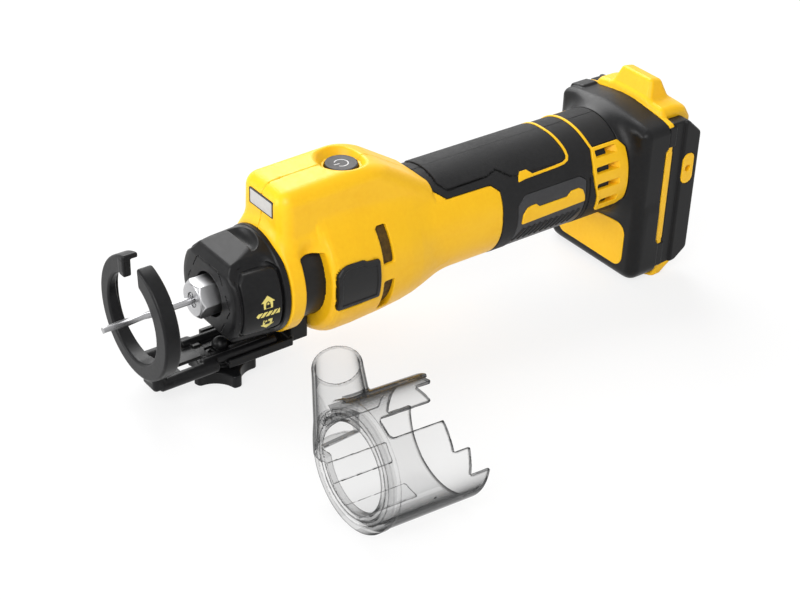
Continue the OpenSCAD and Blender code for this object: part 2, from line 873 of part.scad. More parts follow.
// Space of each terminal blade, grown by a gap
module blade_spaces(gap) {
  for (i = [0:blade_count - 1]) {
    y = (i - (blade_count - 1) / 2) * blade_pitch;
    box([x_rail + 2, y - blade_t / 2 - gap, block_z + 6], [x_rail + block_size[0] + 3, y + blade_t / 2 + gap,
                                                           block_z + block_size[2] - 6]);
  }
}

module terminal_block() {
  color(black) difference() {
    box([x_rail, -block_size[1] / 2, block_z],
        [x_rail + block_size[0], block_size[1] / 2, block_z + block_size[2]]);
    blade_spaces(seat_gap);
  }
}

module terminal_blades() {
  color("#c9a64b") blade_spaces(0);
}

module heat_sink() {
  color("lightgray") difference() {
    box([x_base - sink_t, -controller_size[1] / 2, controller_z],
        [x_base, controller_size[1] / 2, controller_z + controller_size[2]]);
    for (i = [0:sink_grooves - 1]) {
      y = (i + 0.5 - sink_grooves / 2) * controller_size[1] / sink_grooves;
      box([x_base - sink_cut, y - 1.5, controller_z - 1], [x_base + 1, y + 1.5, controller_z + big]);
    }
  }
}

module controller() {
  color("darkgreen") box([x_base - sink_t - controller_size[0], -controller_size[1] / 2, controller_z],
                         [x_base - sink_t, controller_size[1] / 2, controller_z + controller_size[2]]);
}

// Fasteners

module housing_screws() {
  color("dimgray") for (p = screw_places) translate([p[0], 0, p[1]]) rotate([-90, 0, 0]) difference() {
    union() {
      translate([0, 0, -screw_tip]) cylinder(h = screw_tip + screw_head_y[0] + 1, r = screw_r);
      translate([0, 0, screw_head_y[0]]) cylinder(h = screw_head_y[1] - screw_head_y[0], r = screw_head_r);
    }
    translate([0, 0, screw_head_y[1] - 1.6]) cylinder(h = 2, r = 1.6, $fn = 6);
  }
}

// Depth guide and its clamp

module guide_bracket() {
  color(dark) difference() {
    union() {
      box([x_track, -track_w, track_base], [x_track_end + 1, track_w, track_z]);
      box([riser_x[0], -riser_w, track_base], [riser_x[1], riser_w, 0]);
    }
    rod_x(riser_x[0] - 1, riser_x[1] + 1, drum_r + seat_gap);
    box([riser_x[0] - 1, -big, -drum_r * cos(asin(riser_w / drum_r))], [riser_x[1] + 1, big, big]);
    translate([x_clamp, 0, track_base - 1]) cylinder(h = track_t + 2, r = bolt_r + seat_gap);
  }
}

module guide_ring() {
  difference() {
    turned([[0, ring_hole_r + ring_soft], [0, ring_r - ring_soft], [ring_soft, ring_r],
            [ring_t - ring_soft, ring_r], [ring_t, ring_r - ring_soft], [ring_t, ring_hole_r + ring_soft],
            [ring_t - ring_soft, ring_hole_r], [ring_soft, ring_hole_r]]);
    box([-1, -ring_gap, 0], [ring_t + 1, ring_gap, big]);
  }
}

module depth_guide() {
  color(black) difference() {
    union() {
      guide_ring();
      box([foot_bar[0], -arm_y, arm_z - arm_r + 0.6], [foot_bar[1], arm_y, -ring_r + 5]);
      for (s = [-1, 1]) {
        rod_x(foot_bar[0], x_arm_end, arm_r, s * arm_y, arm_z);
        rod_x(x_arm_end - 8, x_rod_end, rod_r, s * rod_y, rod_z);
      }
      box([x_plate, -rod_y, guide_plate[0]], [x_rod_end - 1, rod_y, guide_plate[1]]);
    }
    box([x_plate - 1, -slot_w, track_z], [x_slot_end - slot_w, slot_w, guide_plate[1] + 1]);
    translate([x_slot_end - slot_w, 0, track_z]) cylinder(h = 4, r = slot_w);
  }
}

module clamp_bolt() {
  color(black) translate([x_clamp, 0, 0]) {
    translate([0, 0, bolt_head[0]]) cylinder(h = bolt_head[1] - bolt_head[0], r = bolt_head_r);
    translate([0, 0, knob_base + 1]) cylinder(h = bolt_head[0] - knob_base, r = bolt_r);
  }
}

module clamp_knob() {
  color(black) translate([x_clamp, 0, knob_base]) difference() {
    union() {
      cylinder(h = knob_h, r = knob_r);
      cylinder(h = knob_h + knob_hub_h, r = knob_hub_r);
    }
    for (i = [0:knob_lobes - 1]) rotate([0, 0, (i + 0.5) * 360 / knob_lobes + 268])
      translate([knob_r + knob_scoop_r - 6, 0, -1]) cylinder(h = knob_h + 1, r = knob_scoop_r);
    translate([0, 0, -1]) cylinder(h = big, r = bolt_r + run_gap);
  }
}

// Dust shroud, modelled along X from its front face and laid down at its place

module shroud_wedge(a, b, x) {
  reach = 2 * shroud_r;
  translate([x, 0, 0]) rotate([90, 0, 90]) linear_extrude(shroud_l)
    polygon([[0, 0], [-reach * cos(a), reach * sin(a)], [-reach * cos((a + b) / 2), reach * sin((a + b) / 2)],
             [-reach * cos(b), reach * sin(b)]]);
}

module outlet_place() {
  translate(outlet_at) rotate([-outlet_lean, 0, 0]) children();
}

module dust_shroud() {
  color("#dfe6ea", 0.4) translate(shroud_at) rotate([0, shroud_tilt, 0]) difference() {
    union() {
      rod_x(0, shroud_l, shroud_r);
      outlet_place() cylinder(h = outlet_l, r = outlet_r);
    }
    rod_x(shroud_face, shroud_l + 1, shroud_bore);
    rod_x(-1, shroud_l, shroud_hole_r);
    outlet_place() translate([0, 0, -5]) cylinder(h = outlet_l + 10, r = outlet_bore);
    shroud_wedge(notch_angles[0], notch_angles[1], notch_x);
    shroud_wedge(25.5, 97, steps_x[0]);
    shroud_wedge(-1.5, 26, steps_x[1]);
    shroud_wedge(96, 183, steps_x[2]);
  }
}

housing_left();
housing_right();
grip_left();
grip_right();
nose_drum();
lock_sleeve();
collet_nut();
collet();
cutting_bit();
spindle_shaft();
front_bearing();
rear_bearing();
rotor_core();
rotor_magnets();
stator_core();
stator_windings();
sensor_board();
cooling_fan();
motor_leads();
power_button();
switch_module();
light_lens();
light_board();
side_pad_left();
side_pad_right();
side_plate_left();
side_plate_right();
vent_panel_left();
vent_panel_right();
foot_shell();
rating_plate();
battery_base();
battery_rail_left();
battery_rail_right();
hook_insert_left();
hook_insert_right();
terminal_block();
terminal_blades();
controller();
heat_sink();
housing_screws();
guide_bracket();
depth_guide();
clamp_bolt();
clamp_knob();
dust_shroud();
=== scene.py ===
"""Looks of a cordless drywall cut out tool and its clear dust shroud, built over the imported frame.

Moulded pieces are described as solids by their signed distance in millimetres, filleted where a
moulding would be, and meshed in code. Ribs and the spiral bit are grown by Geometry Nodes.
"""

from __future__ import annotations

import logging
import math
from dataclasses import dataclass, field
from enum import Enum
from functools import cache, reduce
from typing import Any, Callable, ClassVar, Iterable, Mapping, Sequence

import bpy
import numpy as np
from mathutils import Matrix, Vector

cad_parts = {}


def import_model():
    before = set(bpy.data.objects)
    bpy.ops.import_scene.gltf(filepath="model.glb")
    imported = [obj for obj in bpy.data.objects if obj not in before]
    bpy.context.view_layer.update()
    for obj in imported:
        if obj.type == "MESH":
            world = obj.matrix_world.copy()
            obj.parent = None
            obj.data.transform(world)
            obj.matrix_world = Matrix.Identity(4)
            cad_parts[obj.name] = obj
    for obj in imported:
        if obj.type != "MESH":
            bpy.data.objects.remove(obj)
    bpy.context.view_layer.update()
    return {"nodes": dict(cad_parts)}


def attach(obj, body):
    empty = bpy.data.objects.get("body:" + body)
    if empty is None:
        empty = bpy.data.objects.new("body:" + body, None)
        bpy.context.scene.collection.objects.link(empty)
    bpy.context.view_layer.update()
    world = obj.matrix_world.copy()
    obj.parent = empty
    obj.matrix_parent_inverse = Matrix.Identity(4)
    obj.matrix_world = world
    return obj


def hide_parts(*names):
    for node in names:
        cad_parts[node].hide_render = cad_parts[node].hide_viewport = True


LOG = logging.getLogger("cut_out_tool")
MM = 0.001
# Grid cells in a block, and how many steps off the surface a block's middle may lie
BLOCK = 8
BLOCK_REACH = 8.8
CHUNK = 40000
# Rounds that settle a mesh on its surface, and how far off a point is probed, in millimetres
SETTLE_ROUNDS = 3
SETTLE_PROBE = 0.02
NORMAL_PROBE = 0.04
# The grip's radius, the height of its axis, the sag of its lower side and its arc of one degree
GRIP_R = 30.0
GRIP_Z = 5.0
GRIP_SAG = 3.0
DEGREE_MM = GRIP_R * math.pi / 180
BUTTON_X = 126.45
SCREW_HEAD_R = 3.4
# Tilt of the surface that the tool and the shroud lie on
LIE_TILT = math.radians(3.629)
NUMBER = "NodeSocketFloat"
ARROW = "NodeSocketVector"

Array = np.ndarray
Point = tuple[float, float]
Place = tuple[float, float, float]
Colour = tuple[float, float, float]


class Axis(Enum):
    """A direction and the two directions across it, as column numbers."""

    X = (0, 1, 2)
    Y = (1, 0, 2)
    Z = (2, 0, 1)


class Body(Enum):
    """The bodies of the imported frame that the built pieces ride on."""

    TOOL = "tool"
    NUT = "nut"
    BIT = "bit"
    SLEEVE = "sleeve"
    BUTTON = "button"
    GUIDE = "guide"
    KNOB = "knob"
    SHROUD = "shroud"


class Side(Enum):
    """Left and right of the tool, by the sign of Y."""

    LEFT = -1
    RIGHT = 1

    @property
    def word(self) -> str:
        """The side as the pieces' names have it."""
        return self.name.lower()

    def span(self, near: float, far: float) -> Point:
        """Lowest and highest Y between two distances from the middle."""
        return (near, far) if self is Side.RIGHT else (-far, -near)

    def room(self, start: float = 0.0) -> Solid:
        """Everything on this side, from a distance off the middle."""
        return behind((0, self.value * start, 0), (0, -self.value, 0))


# Solids by signed distance


def round_min(a: Array, b: Array, soft: float) -> Array:
    """Joins two distances with an inside fillet.

    Args:
        a: First distance.
        b: Second distance.
        soft: Fillet radius in millimetres.
    Returns:
        The joined distance.
    """
    if soft <= 0:
        return np.minimum(a, b)
    return np.maximum(soft, np.minimum(a, b)) - np.hypot(np.maximum(soft - a, 0), np.maximum(soft - b, 0))


def round_max(a: Array, b: Array, soft: float) -> Array:
    """Shares two distances with a rounded outside edge.

    Args:
        a: First distance.
        b: Second distance.
        soft: Edge radius in millimetres.
    Returns:
        The shared distance.
    """
    if soft <= 0:
        return np.maximum(a, b)
    return np.minimum(-soft, np.maximum(a, b)) + np.hypot(np.maximum(a + soft, 0), np.maximum(b + soft, 0))


@dataclass(frozen=True)
class Solid:
    """A form given by its signed distance in millimetres, negative inside."""

    dist: Callable[[Array], Array]

    def join(self, other: Solid, soft: float = 0.0) -> Solid:
        """Both solids as one, with a fillet of radius soft between them."""
        return Solid(lambda p: round_min(self.dist(p), other.dist(p), soft))

    def keep(self, other: Solid, soft: float = 0.0) -> Solid:
        """What both solids share, with edges of radius soft."""
        return Solid(lambda p: round_max(self.dist(p), other.dist(p), soft))

    def cut(self, other: Solid, soft: float = 0.0) -> Solid:
        """This solid without the other, with edges of radius soft."""
        return Solid(lambda p: round_max(self.dist(p), -other.dist(p), soft))

    def grown(self, by: float) -> Solid:
        """This solid grown all round by a distance."""
        return Solid(lambda p: self.dist(p) - by)

    def both_sides(self) -> Solid:
        """The left side of this solid, mirrored to the right."""
        return Solid(lambda p: self.dist(np.column_stack([p[:, 0], -np.abs(p[:, 1]), p[:, 2]])))

    def placed(self, at: Place, axes: Sequence[Place]) -> Solid:
        """This solid laid down in a turned frame, whose X, Y and Z are the axes."""
        turn = np.array(axes).T
        return Solid(lambda p: self.dist((p - np.array(at)) @ turn))


def joined(solids: Iterable[Solid]) -> Solid:
    """Several solids as one, without fillets."""
    return reduce(Solid.join, solids)


def between(values: Array, a: float, b: float) -> Array:
    """Signed distance of numbers to the stretch from a to b."""
    return np.abs(values - (a + b) / 2) - (b - a) / 2


def rod(axis: Axis, a: float, b: float, r: float, at: Point = (0, 0), edge: float = 0.0) -> Solid:
    """A cylinder along an axis.

    Args:
        axis: Direction of the cylinder.
        a: Start along it.
        b: End along it.
        r: Radius.
        at: Centre across the axis.
        edge: Radius of the end edges.
    Returns:
        The cylinder.
    """
    i, j, k = axis.value

    def distance(p: Array) -> Array:
        """Distance to the cylinder."""
        return round_max(np.hypot(p[:, j] - at[0], p[:, k] - at[1]) - r, between(p[:, i], a, b), edge)

    return Solid(distance)


def slab(axis: Axis, a: float, b: float) -> Solid:
    """Everything between two flat faces across an axis."""
    return Solid(lambda p: between(p[:, axis.value[0]], a, b))


def past(axis: Axis, start: float) -> Solid:
    """Everything beyond a flat face across an axis."""
    return Solid(lambda p: start - p[:, axis.value[0]])


def up_to(axis: Axis, end: float) -> Solid:
    """Everything short of a flat face across an axis."""
    return Solid(lambda p: p[:, axis.value[0]] - end)


def behind(at: Place, normal: Place) -> Solid:
    """Everything behind a plane that faces along normal."""
    facing = np.array(normal) / np.linalg.norm(normal)
    return Solid(lambda p: (p - np.array(at)) @ facing)


def block(low: Place, high: Place, edge: float = 0.0) -> Solid:
    """A box with round edges.

    Args:
        low: Lowest corner.
        high: Highest corner.
        edge: Edge radius.
    Returns:
        The box.
    """
    middle = (np.array(low) + np.array(high)) / 2
    reach = (np.array(high) - np.array(low)) / 2 - edge

    def distance(p: Array) -> Array:
        """Distance to the box."""
        q = np.abs(p - middle) - reach
        return np.linalg.norm(np.maximum(q, 0), axis=1) + np.minimum(q.max(axis=1), 0) - edge

    return Solid(distance)


def ball(at: Place, radii: Place) -> Solid:
    """A ball stretched to three radii.

    Args:
        at: Its middle.
        radii: Its radii along X, Y and Z.
    Returns:
        The ball, with a distance that is true near its surface.
    """
    size = np.array(radii)

    def distance(p: Array) -> Array:
        """Near distance to the stretched ball.

        Args:
            p: Points to measure.
        Returns:
            Their distances.
        """
        q = (p - np.array(at)) / size
        length = np.linalg.norm(q, axis=1)
        return length * (length - 1) / np.maximum(np.linalg.norm(q / size, axis=1), 1e-6)

    return Solid(distance)


def turned(points: Sequence[Point]) -> Solid:
    """A solid turned round the spindle's axis, open at its ends.

    Args:
        points: Stations as X and radius.
    Returns:
        The turned solid.
    """
    table = np.array(points)
    xs = np.linspace(table[0, 0], table[-1, 0], 400)
    radii = np.interp(xs, table[:, 0], table[:, 1])
    lean = 1 / np.hypot(1, np.gradient(radii, xs))

    def distance(p: Array) -> Array:
        """Distance to the turned face."""
        return (np.hypot(p[:, 1], p[:, 2]) - np.interp(p[:, 0], xs, radii)) * np.interp(p[:, 0], xs, lean)

    return Solid(distance)


def oblong(low: Point, high: Point) -> list[Point]:
    """Corners of a flat oblong."""
    return [low, (high[0], low[1]), high, (low[0], high[1])]


def inset(points: Sequence[Point], by: float) -> Array:
    """Moves every side of an outline inwards.

    Args:
        points: Corners of the outline.
        by: Distance to move.
    Returns:
        The new corners.
    """
    corners = np.array(points, float)
    ahead = np.roll(corners, -1, axis=0)
    area = np.sum(corners[:, 0] * ahead[:, 1] - ahead[:, 0] * corners[:, 1])
    along = (ahead - corners) / np.linalg.norm(ahead - corners, axis=1)[:, None]
    inward = np.column_stack([-along[:, 1], along[:, 0]]) * np.sign(area)
    before = np.roll(inward, 1, axis=0)
    share = 1 + np.sum(inward * before, axis=1)
    return corners + by * (inward + before) / np.maximum(share, 0.2)[:, None]


def outline_distance(corners: Array, u: Array, v: Array) -> Array:
    """Signed distance to a closed outline.

    Args:
        corners: Corners of the outline.
        u: First coordinate of the points.
        v: Second coordinate of the points.
    Returns:
        The distances, negative inside.
    """
    best = np.full(u.shape, np.inf)
    inside = np.zeros(u.shape, bool)
    for (ax, ay), (bx, by) in zip(corners, np.roll(corners, -1, axis=0)):
        ex, ey = bx - ax, by - ay
        wu, wv = u - ax, v - ay
        t = np.clip((wu * ex + wv * ey) / (ex * ex + ey * ey), 0, 1)
        best = np.minimum(best, (wu - ex * t) ** 2 + (wv - ey * t) ** 2)
        if ey:
            inside ^= ((ay > v) != (by > v)) & (wu < wv * ex / ey)
    return np.where(inside, -1, 1) * np.sqrt(best)


def line_distance(points: Sequence[Point], u: Array, v: Array) -> Array:
    """Distance to an open line of straight runs.

    Args:
        points: Ends of the runs.
        u: First coordinate of the points.
        v: Second coordinate of the points.
    Returns:
        The distances.
    """
    best = np.full(u.shape, np.inf)
    for (ax, ay), (bx, by) in zip(points, points[1:]):
        ex, ey = bx - ax, by - ay
        t = np.clip(((u - ax) * ex + (v - ay) * ey) / (ex * ex + ey * ey), 0, 1)
        best = np.minimum(best, np.hypot(u - ax - ex * t, v - ay - ey * t))
    return best


def prism(axis: Axis, points: Sequence[Point], corner: float = 0.0) -> Solid:
    """An endless bar with a flat outline.

    Args:
        axis: Direction of the bar.
        points: Outline across the axis.
        corner: Radius of the outward corners.
    Returns:
        The bar.
    """
    _, j, k = axis.value
    corners = inset(points, corner)
    return Solid(lambda p: outline_distance(corners, p[:, j], p[:, k]) - corner)


def bead(axis: Axis, points: Sequence[Point], half: float) -> Solid:
    """An endless wall of one width that follows a line across an axis."""
    _, j, k = axis.value
    return Solid(lambda p: line_distance(points, p[:, j], p[:, k]) - half)


def grip_arc(p: Array) -> Array:
    """Height round the grip as a length of arc, alike on both sides."""
    return np.arctan2(p[:, 2] - GRIP_Z, np.abs(p[:, 1])) * GRIP_R


def wrapped(points: Sequence[Point], corner: float = 0.0) -> Solid:
    """An outline laid round the grip as an endless wedge, given as X and degrees above its side."""
    corners = inset([(x, a * DEGREE_MM) for x, a in points], corner)
    return Solid(lambda p: outline_distance(corners, p[:, 0], grip_arc(p)) - corner)


def wrapped_bead(points: Sequence[Point], half: float) -> Solid:
    """A line of one width laid round the grip, given as X and degrees."""
    flat = [(x, a * DEGREE_MM) for x, a in points]
    return Solid(lambda p: line_distance(flat, p[:, 0], grip_arc(p)) - half)


def grip_radius(p: Array) -> Array:
    """Distance from the grip's axis, less what its lower side sags."""
    return np.hypot(p[:, 1], p[:, 2] - GRIP_Z) - GRIP_SAG * np.clip((GRIP_Z - p[:, 2]) / GRIP_R, 0, 1)


def grip_rod(a: float, b: float, r: float, edge: float = 0.0) -> Solid:
    """A bar on the grip's axis with the grip's own section."""
    return Solid(lambda p: round_max(grip_radius(p) - r, between(p[:, 0], a, b), edge))


# Meshing


def sample(solid: Solid, points: Array) -> Array:
    """Distances of many points, taken in runs that fit the cache."""
    runs = [solid.dist(points[i : i + CHUNK]) for i in range(0, len(points), CHUNK)]
    return np.concatenate(runs)


def grid_of(shape: Sequence[int]) -> Array:
    """All whole places of a grid."""
    return np.stack(np.meshgrid(*[np.arange(n) for n in shape], indexing="ij"), -1).reshape(-1, 3)


def slope(solid: Solid, points: Array, reach: float) -> tuple[Array, Array]:
    """Measures how the distance grows round each point.

    Args:
        solid: The solid.
        points: Where to measure.
        reach: How far to step from each point.
    Returns:
        The slope at each point and the mean distance.
    """
    ways = np.array([(1, 1, 1), (1, -1, -1), (-1, 1, -1), (-1, -1, 1)]) / math.sqrt(3)
    values = [sample(solid, points + reach * way) for way in ways]
    rise = sum(value[:, None] * way for value, way in zip(values, ways)) * 0.75 / reach
    return rise, sum(values) / 4


@dataclass(frozen=True)
class Net:
    """Meshes a solid by surface nets on a grid.

    Args:
        low: Lowest corner of the solid's room.
        high: Highest corner of the solid's room.
        step: Grid step in millimetres.
    """

    low: Place
    high: Place
    step: float

    def mesh(self, name: str, solid: Solid) -> bpy.types.Mesh:
        """Makes a smooth closed mesh.

        Args:
            name: Name of the mesh.
            solid: What to mesh.
        Returns:
            The mesh in metres.
        """
        step = self.step * 1.0
        start = np.array(self.low) - 1.5 * step
        places, quads = self._net(self._values(solid, start, step))
        points = start + places * step
        for _ in range(SETTLE_ROUNDS):
            rise, mean = slope(solid, points, SETTLE_PROBE)
            length = np.maximum(np.sum(rise * rise, axis=1), 0.05)
            move = rise * (mean / length)[:, None]
            far = np.maximum(np.linalg.norm(move, axis=1) / (0.7 * step), 1)
            points = points - move / far[:, None]
        facing, _ = slope(solid, points, NORMAL_PROBE)
        facing /= np.maximum(np.linalg.norm(facing, axis=1), 1e-9)[:, None]
        mesh = bpy.data.meshes.new(name)
        mesh.from_pydata((points * MM).tolist(), [], quads.tolist())
        mesh.shade_smooth()
        mesh.normals_split_custom_set_from_vertices(facing.tolist())
        return mesh

    def _values(self, solid: Solid, start: Array, step: float) -> Array:
        """Distances on the grid, fine only near the surface.

        Args:
            solid: What to measure.
            start: First grid place.
            step: Grid step.
        Returns:
            The distances.
        """
        blocks = np.ceil((np.array(self.high) + 1.5 * step - start) / (BLOCK * step)).astype(int)
        ids = grid_of(blocks)
        middle = sample(solid, start + (ids * BLOCK + (BLOCK - 1) / 2) * step)
        value = middle.reshape(blocks)
        for axis in range(3):
            value = np.repeat(value, BLOCK, axis)
        near = ids[np.abs(middle) < BLOCK_REACH * step]
        fine = (near[:, None, :] * BLOCK + grid_of([BLOCK] * 3)[None]).reshape(-1, 3)
        value[tuple(fine.T)] = sample(solid, start + fine * step)
        return value

    @staticmethod
    def _net(value: Array) -> tuple[Array, Array]:
        """Finds the surface in a grid of distances.

        Args:
            value: Distances on the grid.
        Returns:
            Vertex places in grid steps, and quads that face outwards.
        """
        inside = value < 0
        count = np.zeros(np.array(value.shape) - 1, np.int8)
        for di, dj, dk in grid_of([2, 2, 2]):
            count += inside[di : di + count.shape[0], dj : dj + count.shape[1], dk : dk + count.shape[2]]
        active = (count > 0) & (count < 8)
        cells = np.argwhere(active)
        number = np.full(active.shape, -1)
        number[active] = np.arange(len(cells))
        total = np.zeros(cells.shape)
        hits = np.zeros(len(cells))
        quads = []
        units = np.eye(3, dtype=int)
        for a in range(3):
            b, c = (a + 1) % 3, (a + 2) % 3
            none, both = 0 * units[b], units[b] + units[c]
            for off in (none, units[b], units[c], both):
                first = value[tuple((cells + off).T)]
                second = value[tuple((cells + off + units[a]).T)]
                crossed = (first < 0) != (second < 0)
                share = np.where(crossed, first / np.where(crossed, first - second, 1), 0)
                total += crossed[:, None] * off + (share * crossed)[:, None] * units[a]
                hits += crossed
            lower = np.take(inside, range(inside.shape[a] - 1), axis=a)
            upper = np.take(inside, range(1, inside.shape[a]), axis=a)
            flips = np.argwhere(lower != upper)
            flips = flips[(flips[:, b] > 0) & (flips[:, c] > 0)]
            flips = flips[(flips[:, b] < inside.shape[b] - 1) & (flips[:, c] < inside.shape[c] - 1)]
            ring = (both, units[c], none, units[b])
            quad = np.column_stack([number[tuple((flips - off).T)] for off in ring])
            outward = ~inside[tuple(flips.T)]
            quad[outward] = quad[outward][:, ::-1]
            quads.append(quad)
        return cells + total / np.maximum(hits, 1)[:, None], np.concatenate(quads)


# Node trees


@dataclass
class Bench:
    """Adds nodes to one tree and links them."""

    tree: bpy.types.NodeTree

    def add(self, kind: str, inputs: Mapping[Any, Any] | None = None, **settings: Any) -> bpy.types.Node:
        """Adds one node.

        Args:
            kind: Blender's name of the node type.
            inputs: Values or sockets for the node's inputs, by name or number.
            settings: Attributes of the node.
        Returns:
            The node.
        """
        node = self.tree.nodes.new(kind)
        for key, value in settings.items():
            setattr(node, key, value)
        self.fill(node, inputs or {})
        return node

    def fill(self, node: bpy.types.Node, inputs: Mapping[Any, Any]) -> None:
        """Links or sets inputs of a node.

        Args:
            node: The node.
            inputs: Values or sockets, by name or number of the input.
        """
        for key, value in inputs.items():
            if isinstance(value, bpy.types.NodeSocket):
                self.tree.links.new(value, node.inputs[key])
            else:
                node.inputs[key].default_value = value

    def out(
        self, kind: str, inputs: Mapping[Any, Any] | None = None, output: Any = 0, **settings: Any
    ) -> bpy.types.NodeSocket:
        """Adds one node and gives back one of its outputs."""
        return self.add(kind, inputs, **settings).outputs[output]

    def math(self, operation: str, *values: Any, clamp: bool = False) -> bpy.types.NodeSocket:
        """Reckons with numbers."""
        return self.out("ShaderNodeMath", dict(enumerate(values)), operation=operation, use_clamp=clamp)

    def vector(self, operation: str, *values: Any, output: Any = 0) -> bpy.types.NodeSocket:
        """Reckons with vectors."""
        return self.out("ShaderNodeVectorMath", dict(enumerate(values)), output, operation=operation)

    def spread(self, value: Any, low: float, high: float, first: float = 0.0, last: float = 1.0) -> Any:
        """Maps the stretch from low to high onto the one from first to last."""
        limits = {"From Min": low, "From Max": high, "To Min": first, "To Max": last}
        return self.out("ShaderNodeMapRange", {"Value": value, **limits})

    def mix(self, share: Any, first: Any, last: Any) -> bpy.types.NodeSocket:
        """Mixes two colours."""
        return self.out("ShaderNodeMix", {"Factor": share, 6: first, 7: last}, 2, data_type="RGBA")

    def along_x(self, x: Any) -> bpy.types.NodeSocket:
        """A place on the X axis."""
        return self.out("ShaderNodeCombineXYZ", {"X": x})

    def swept(self, curve: Any, profile: Any) -> bpy.types.NodeSocket:
        """A closed bar of a profile that follows a curve."""
        inputs = {"Curve": curve, "Profile Curve": profile, "Fill Caps": True}
        return self.out("GeometryNodeCurveToMesh", inputs)

    def sockets(self, inputs: Mapping[str, str], outputs: Mapping[str, str]) -> tuple[bpy.types.Node, ...]:
        """Gives a group its named sockets.

        Args:
            inputs: Socket types of the inputs by name.
            outputs: Socket types of the outputs by name.
        Returns:
            The group's input and output nodes.
        """
        for way, names in (("INPUT", inputs), ("OUTPUT", outputs)):
            for name, kind in names.items():
                self.tree.interface.new_socket(name=name, in_out=way, socket_type=kind)
        return self.add("NodeGroupInput"), self.add("NodeGroupOutput")


@cache
def skin_group() -> bpy.types.NodeTree:
    """Shared surface of moulded and ground pieces.

    Returns:
        A shader group that puts out a grained normal, a mottle and an edge rub.
    """
    bench = Bench(bpy.data.node_groups.new("moulded_skin", "ShaderNodeTree"))
    start, end = bench.sockets(
        {"Grain": NUMBER, "Depth": NUMBER, "Stretch": ARROW},
        {"Normal": ARROW, "Mottle": NUMBER, "Rub": NUMBER},
    )
    noise = "ShaderNodeTexNoise"
    place = bench.out("ShaderNodeTexCoord", output="Object")
    drawn = bench.vector("MULTIPLY", place, start.outputs["Stretch"])
    grain = bench.out(noise, {"Vector": drawn, "Scale": start.outputs["Grain"], "Detail": 3.0})
    bump = bench.out("ShaderNodeBump", {"Height": grain, "Distance": start.outputs["Depth"], "Strength": 1.0})
    cloud = bench.out(noise, {"Vector": place, "Scale": 38.0, "Detail": 5.0, "Roughness": 0.6})
    fleck = bench.out(noise, {"Vector": drawn, "Scale": 420.0, "Detail": 2.0})
    mottle = bench.spread(bench.math("MULTIPLY", cloud, fleck), 0.12, 0.4)
    edge = bench.spread(bench.out("ShaderNodeNewGeometry", output="Pointiness"), 0.53, 0.66)
    bench.fill(end, {"Normal": bump, "Mottle": mottle, "Rub": bench.math("MULTIPLY", edge, cloud)})
    return bench.tree


@dataclass(frozen=True)
class Finish:
    """A finish of the tool, made into one procedural material.

    Args:
        name: Name of the material.
        slot: The record's material slot, not used.
        colour: Main colour.
        shade: Colour of the mottle.
        worn: Colour of rubbed edges.
        rough: Lowest and highest roughness.
        grain: Grain scale per metre.
        depth: Grain depth in millimetres.
        stretch: Grain scale along each axis.
        sockets: Shader values that are alike all over.
    """

    name: str
    slot: str
    colour: Colour
    shade: Colour
    worn: Colour
    rough: Point
    grain: float = 2400.0
    depth: float = 0.02
    stretch: Place = (1.0, 1.0, 1.0)
    sockets: Mapping[str, float] = field(default_factory=dict)
    shelf: ClassVar[dict[str, bpy.types.Material]] = {}

    def material(self) -> bpy.types.Material:
        """Makes the material once.

        Returns:
            The material, which later calls give back again.
        """
        if self.name in self.shelf:
            return self.shelf[self.name]
        made = bpy.data.materials.new(self.name)
        self.shelf[self.name] = made
        made.use_nodes = True
        made.diffuse_color = (*self.colour, 1)
        bench = Bench(made.node_tree)
        shader = made.node_tree.nodes["Principled BSDF"]
        bench.fill(shader, self.sockets)
        self.wire(bench, shader)
        return made

    def wire(self, bench: Bench, shader: bpy.types.Node) -> None:
        """Links the shared skin to the shader.

        Args:
            bench: The material's nodes.
            shader: Its Principled node.
        """
        sizes = {"Grain": self.grain, "Depth": self.depth * MM, "Stretch": self.stretch}
        skin = bench.add("ShaderNodeGroup", sizes, node_tree=skin_group()).outputs
        tone = bench.mix(skin["Mottle"], (*self.colour, 1), (*self.shade, 1))
        rubbed = bench.mix(skin["Rub"], tone, (*self.worn, 1))
        rough = bench.spread(skin["Mottle"], 0.0, 1.0, *self.rough)
        bench.fill(shader, {"Base Color": rubbed, "Roughness": rough, "Normal": skin["Normal"]})


@cache
def wall_edge_group() -> bpy.types.NodeTree:
    """Finds the cut edges of a round wall, whose faces don't look away from its axis.

    Returns:
        A shader group that puts out a mask of those faces, for painted dark edges.
    """
    bench = Bench(bpy.data.node_groups.new("wall_edge", "ShaderNodeTree"))
    names = {"Point": ARROW, "Way": ARROW, "Radius": NUMBER, "Front": NUMBER}
    start, end = bench.sockets(names, {"Edge": NUMBER})
    place = bench.add("ShaderNodeTexCoord").outputs
    way = start.outputs["Way"]
    arm = bench.vector("SUBTRACT", place["Object"], start.outputs["Point"])
    along = bench.vector("DOT_PRODUCT", arm, way, output="Value")
    foot = bench.out("ShaderNodeVectorMath", {0: way, "Scale": along}, operation="SCALE")
    out = bench.vector("SUBTRACT", arm, foot)
    reach = bench.vector("LENGTH", out, output="Value")
    face = bench.vector("DOT_PRODUCT", bench.vector("NORMALIZE", out), place["Normal"], output="Value")
    edge = bench.spread(bench.math("ABSOLUTE", face), 0.5, 0.85, 1.0, 0.0)
    near = bench.math("LESS_THAN", reach, start.outputs["Radius"])
    inner = bench.math("GREATER_THAN", along, start.outputs["Front"])
    bench.fill(end, {"Edge": bench.math("MULTIPLY", edge, bench.math("MULTIPLY", near, inner))})
    return bench.tree


